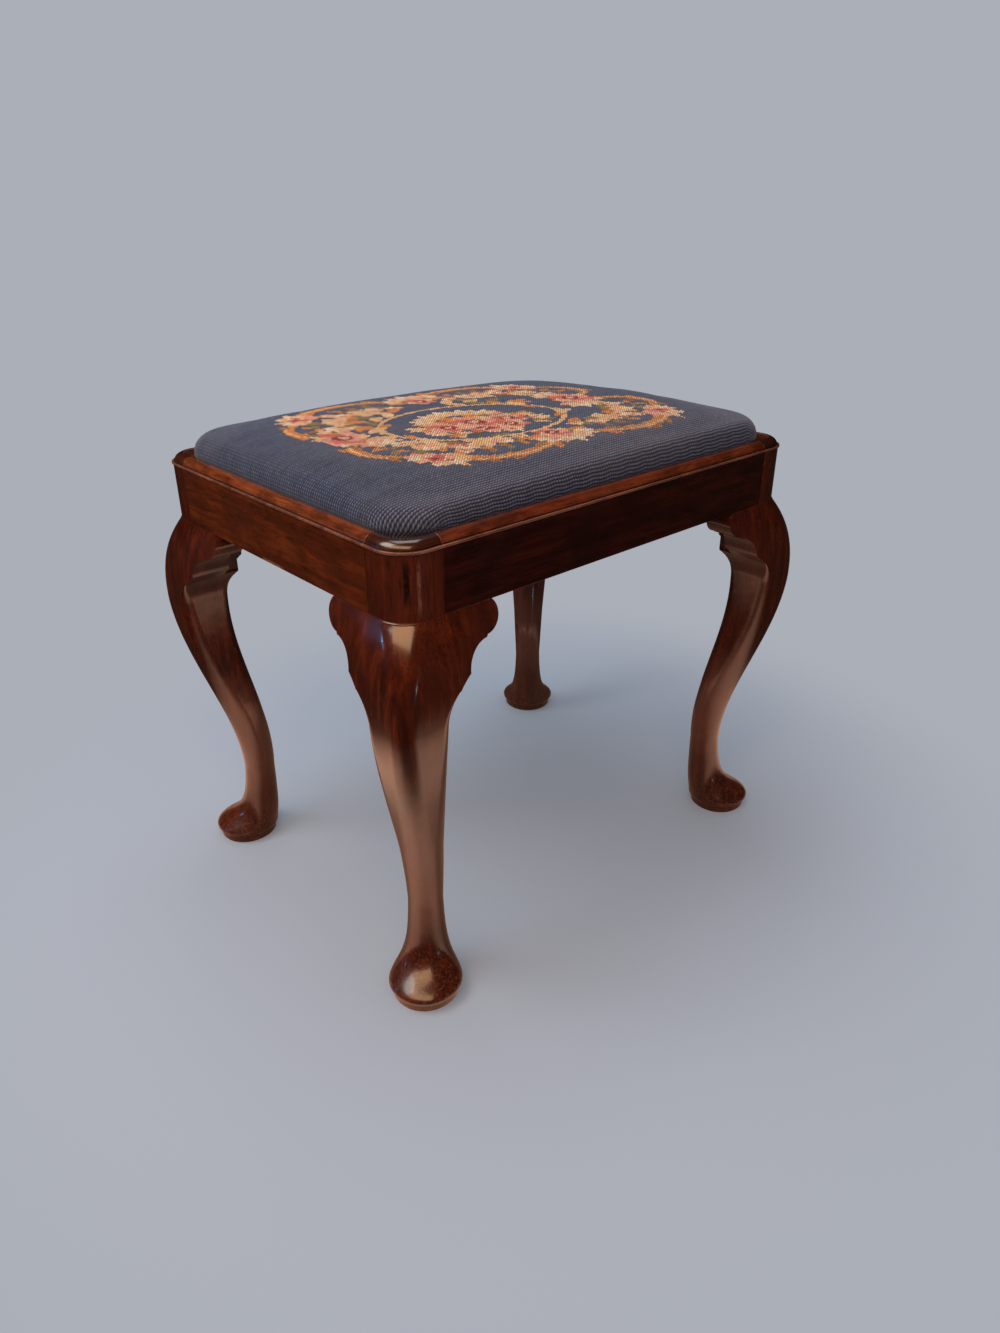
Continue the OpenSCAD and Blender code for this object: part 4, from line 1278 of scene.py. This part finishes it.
def makeCover():
    us, vs, grid, hold, spare = canvasPoints()
    laid = layOnPad(grid, hold)
    dice = np.random.default_rng(cover["seed"])
    colour = stitchColours(us, vs, dice)
    # the points of every stitch's faces, between its four corners
    split = cover["split"]
    fu, fv = (np.arange((len(s) - 1) * split + 1) / split for s in (us, vs))
    iu, iv = np.minimum(fu.astype(int), len(us) - 2), np.minimum(fv.astype(int), len(vs) - 2)
    au, av = (fu - iu)[:, None, None], (fv - iv)[None, :, None]
    base = (laid[iu][:, iv] * (1 - au) * (1 - av) + laid[iu + 1][:, iv] * au * (1 - av)
            + laid[iu][:, iv + 1] * (1 - au) * av + laid[iu + 1][:, iv + 1] * au * av)
    alongU = unit(np.gradient(base, axis=0))
    normal = unit(np.cross(alongU, np.gradient(base, axis=1)))
    # raised along the middle of each row, less where two stitches meet
    rib = np.where(np.arange(len(fv)) % split == 0, 0.0, 1.0)[None, :]
    notch = np.where(np.arange(len(fu)) % split == 0, cover["notch"], 1.0)[:, None]
    uneven = dice.normal(1, cover["uneven"], (len(us), len(vs))).clip(0.7, 1.3)
    height = rib * notch * uneven[iu][:, iv]
    points = base + normal * (height[..., None] * cover["ribHeight"])
    points += alongU * (cover["lean"] * cover["pitch"] * rib[..., None])
    index = np.arange(height.size).reshape(height.shape)
    faces = np.stack([index[:-1, :-1], index[1:, :-1], index[1:, 1:], index[:-1, 1:]], axis=-1).reshape(-1, 4)
    # the canvas is cut away at the corners, where it would be folded under
    cutAway = spare[:-1, :-1] & spare[1:, :-1] & spare[:-1, 1:] & spare[1:, 1:]
    kept = ~perFace(cutAway).reshape(-1)
    used, faces = np.unique(faces[kept], return_inverse=True)
    obj = newPiece("needlepoint_cover", points.reshape(-1, 3)[used], faces.reshape(-1, 4).tolist(), wool, "seat",
                   ["cover"])
    # each point's height, which also sets the painted shade in the gaps and the painted highlight on the tops
    loft = obj.data.attributes.new("loft", "FLOAT", "POINT")
    loft.data.foreach_set("value", height.reshape(-1)[used].astype(np.float32))
    tone = obj.data.attributes.new("wool", "FLOAT_COLOR", "CORNER")
    faceTone = perFace(colour).reshape(-1, 3)[kept]
    cornerTone = np.repeat(np.concatenate([faceTone, np.ones((len(faceTone), 1))], axis=1), 4, axis=0)
    tone.data.foreach_set("color", cornerTone.ravel().astype(np.float32))
    for face in obj.data.polygons:
        face.use_smooth = True
    print("cover stitched: %d stitches" % np.count_nonzero(~cutAway))


makeCover()


# The cover's edge, turned under the seat frame: bare canvas with an uneven cut edge
turnUnder = {"inset": 2.2, "width": 26, "thick": 1.4, "fray": 2.0, "middleR": 220, "seed": 3}


def makeTurnUnder():
    low, top = seatLow[2], seatLow[2] + turnUnder["thick"]
    dice = random.Random(turnUnder["seed"])
    outer, inner = (padRing(1, halfW - cut, halfD - cut, low) for cut in (turnUnder["inset"], turnUnder["width"]))
    ragged = [1 + dice.uniform(-1, 1) * turnUnder["fray"] / turnUnder["middleR"] for _ in outer]
    rings = [[(x * f, y * f, z) for x, y, _ in outer] for f, z in ((1, top), (1, low + 0.4), (0.997, low))]
    rings += [[(x * f, y * f, z) for (x, y, _), f in zip(inner, ragged)] for z in (low, top)]
    count = len(outer)
    faces = loftFaces(len(rings), count, False)
    faces += [(4 * count + i, 4 * count + (i + 1) % count, (i + 1) % count, i) for i in range(count)]
    obj = newPiece("cover_turned_under", np.concatenate(rings), faces, linenCanvas, "seat", ())
    dress(obj, 40)


makeTurnUnder()


# Tacks, each a slightly domed head; the shanks are in the wood
tack = {"headR": 3, "rise": 0.8, "dome": ((1.0, 0.0), (0.96, 0.35), (0.7, 0.8), (0.3, 1.0)), "steps": 14}


def makeTacks(node, up, name):
    low, high = boxOf(node)
    level, side = (high[2], -1) if up else (low[2], 1)
    spots = {}
    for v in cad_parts[node].data.vertices:   # group the solid's points into heads by place
        x, y, z = (c * 1000 for c in v.co)
        if abs(z - level) < 0.05:
            key = next((k for k in spots if math.hypot(k[0] - x, k[1] - y) < 2 * tack["headR"] + 0.5), None)
            spots.setdefault(key or (x, y), []).append((x, y))
    points, faces = [], []
    for group in spots.values():
        cx, cy = ((min(values) + max(values)) / 2 for values in zip(*group))
        start = len(points)
        for share, t in tack["dome"]:
            r, z = share * tack["headR"], level + side * tack["rise"] * (1 - t)
            points += [(cx + r * math.cos(a), cy + r * math.sin(a), z)
                       for a in arcAngles(0, 360, tack["steps"])[:-1]]
        faces += [tuple(start + i for i in face) for face in loftFaces(len(tack["dome"]), tack["steps"])]
    obj = newPiece(name, points, faces, steel, "seat", [node])
    dress(obj, 50)


makeTacks("webbing_tacks", True, "webbing_tack_heads")
makeTacks("cover_tacks", False, "cover_tack_heads")
print("seat made")


# Studio: a plain floor that runs into an even grey-blue background. The polish mirrors a dim room and a
# warm pale floor near the stool, lit by two large soft lamps, one overhead and two distant windows.
# The floor's glow in the polish is a painted reflection: it is given out for mirrored rays only, with
# painted shade under and in front of the stool.
studio = {
    "background": "#abafb8",
    "roomLight": "#bfc3ca",
    "roomStrength": 0.72,
    "mirroredRoom": "#170d0a",
    "floor": "#a0adbf",
    "floorSize": 40,
    "fade": (0.3, 0.72),      # m from the stool over which the floor turns into background
    "haze": 0.22,             # share of plain background in the floor, which keeps the shadow light
    "mirroredFloor": "#eeb496",
    "warmGlow": 1.65,
    # middle, and the m from it between which the mirrored floor goes from one share of its glow to another
    "glowFades": (((-0.08, -0.12, 0), 0.38, 0.6, 1.0, 0.02),      # dark farther off
                  ((-0.44, -0.52, 0), 0.2, 0.4, 0.15, 1.0),       # painted shade of the stool, in front
                  ((0.05, 0.05, 0), 0.3, 0.44, 0.15, 1.0)),       # painted shade under the stool
}


def makeWorld():
    world = bpy.data.worlds.new("studio")
    bpy.context.scene.world = world
    world.use_nodes = True
    tree = world.node_tree
    room = tree.nodes["Background"]
    setInputs(room, Color=studio["roomLight"], Strength=studio["roomStrength"])
    rays = addNode(tree, "LightPath").node.outputs
    seen = addNode(tree, "MixShader", i0=rays["Is Glossy Ray"], i1=room.outputs[0],
                   i2=addNode(tree, "Background", Color=studio["mirroredRoom"]))
    seen = addNode(tree, "MixShader", i0=rays["Is Camera Ray"], i1=seen,
                   i2=addNode(tree, "Background", Color=studio["background"]))
    setInputs(tree.nodes["World Output"], Surface=seen)


def makeFloor():
    material, add, shader, place = newMaterial("studioFloor")
    setInputs(shader, Base_Color=studio["floor"], Roughness=0.9, Specular_IOR_Level=0.1)
    rays = add("LightPath").node.outputs
    away = add("VectorMath", {"operation": "LENGTH"}, "Value", i0=place)
    far = add("MapRange", stepped, Value=away, i1=studio["fade"][0], i2=studio["fade"][1], i3=studio["haze"])
    seen = add("MixShader", i0=add("Math", times, i0=far, i1=rays["Is Camera Ray"]), i1=shader.outputs[0],
               i2=add("Emission", Color=studio["background"]))
    # the floor's glow, seen only in reflections: a painted reflection with painted shade in it
    glow = studio["warmGlow"]
    for middle, start, end, first, last in studio["glowFades"]:
        gap = add("VectorMath", {"operation": "DISTANCE"}, "Value", i0=place, i1=middle)
        left = add("MapRange", stepped, Value=gap, i1=start, i2=end, i3=first, i4=last)
        glow = add("Math", times, i0=glow, i1=left)
    seen = add("MixShader", i0=rays["Is Glossy Ray"], i1=seen,
               i2=add("Emission", Color=studio["mirroredFloor"], Strength=glow))
    setInputs(material.node_tree.nodes["Material Output"], Surface=seen)
    size = studio["floorSize"]
    mesh = bpy.data.meshes.new("floor")
    mesh.from_pydata([(-size, -size, 0), (size, -size, 0), (size, size, 0), (-size, size, 0)], [], [(0, 1, 2, 3)])
    mesh.materials.append(material)
    floor = bpy.data.objects.new("floor", mesh)
    bpy.context.scene.collection.objects.link(floor)


# A lamp that faces the stool, in this direction as seen from a point of it
def addLamp(name, azimuth, elevation, distance, size, power, colour="#ffffff", seenFrom=(0, 0, 0.3)):
    middle = Vector(seenFrom)
    a, e = math.radians(azimuth), math.radians(elevation)
    data = bpy.data.lights.new(name, "AREA")
    data.shape = "RECTANGLE"
    data.size, data.size_y = size
    data.energy = power
    data.color = linear(colour)[:3]
    lamp = bpy.data.objects.new(name, data)
    bpy.context.scene.collection.objects.link(lamp)
    lamp.location = middle + distance * Vector((math.cos(a) * math.cos(e), math.sin(a) * math.cos(e), math.sin(e)))
    lamp.rotation_euler = (middle - lamp.location).to_track_quat("-Z", "Y").to_euler()


makeWorld()
makeFloor()
kneePoint = (-0.262, -0.205, 0.345)
addLamp("keySoftbox", 158, 50, 2.2, (1.1, 1.1), 22, "#fff8f0")
addLamp("roomLamp", -148, 45, 1.7, (1.6, 0.6), 16, "#ffc898")
addLamp("windowLeft", 137.5, 9, 2.6, (0.06, 0.07), 1.7, "#5cc0ff", kneePoint)
addLamp("windowRight", -74, -8, 1.3, (0.08, 0.06), 0.14, "#f4f6ff", kneePoint)
addLamp("ceiling", 60, 78, 2.3, (1.4, 1.2), 14)
bpy.context.scene.view_settings.view_transform = "Standard"
print("studio made")
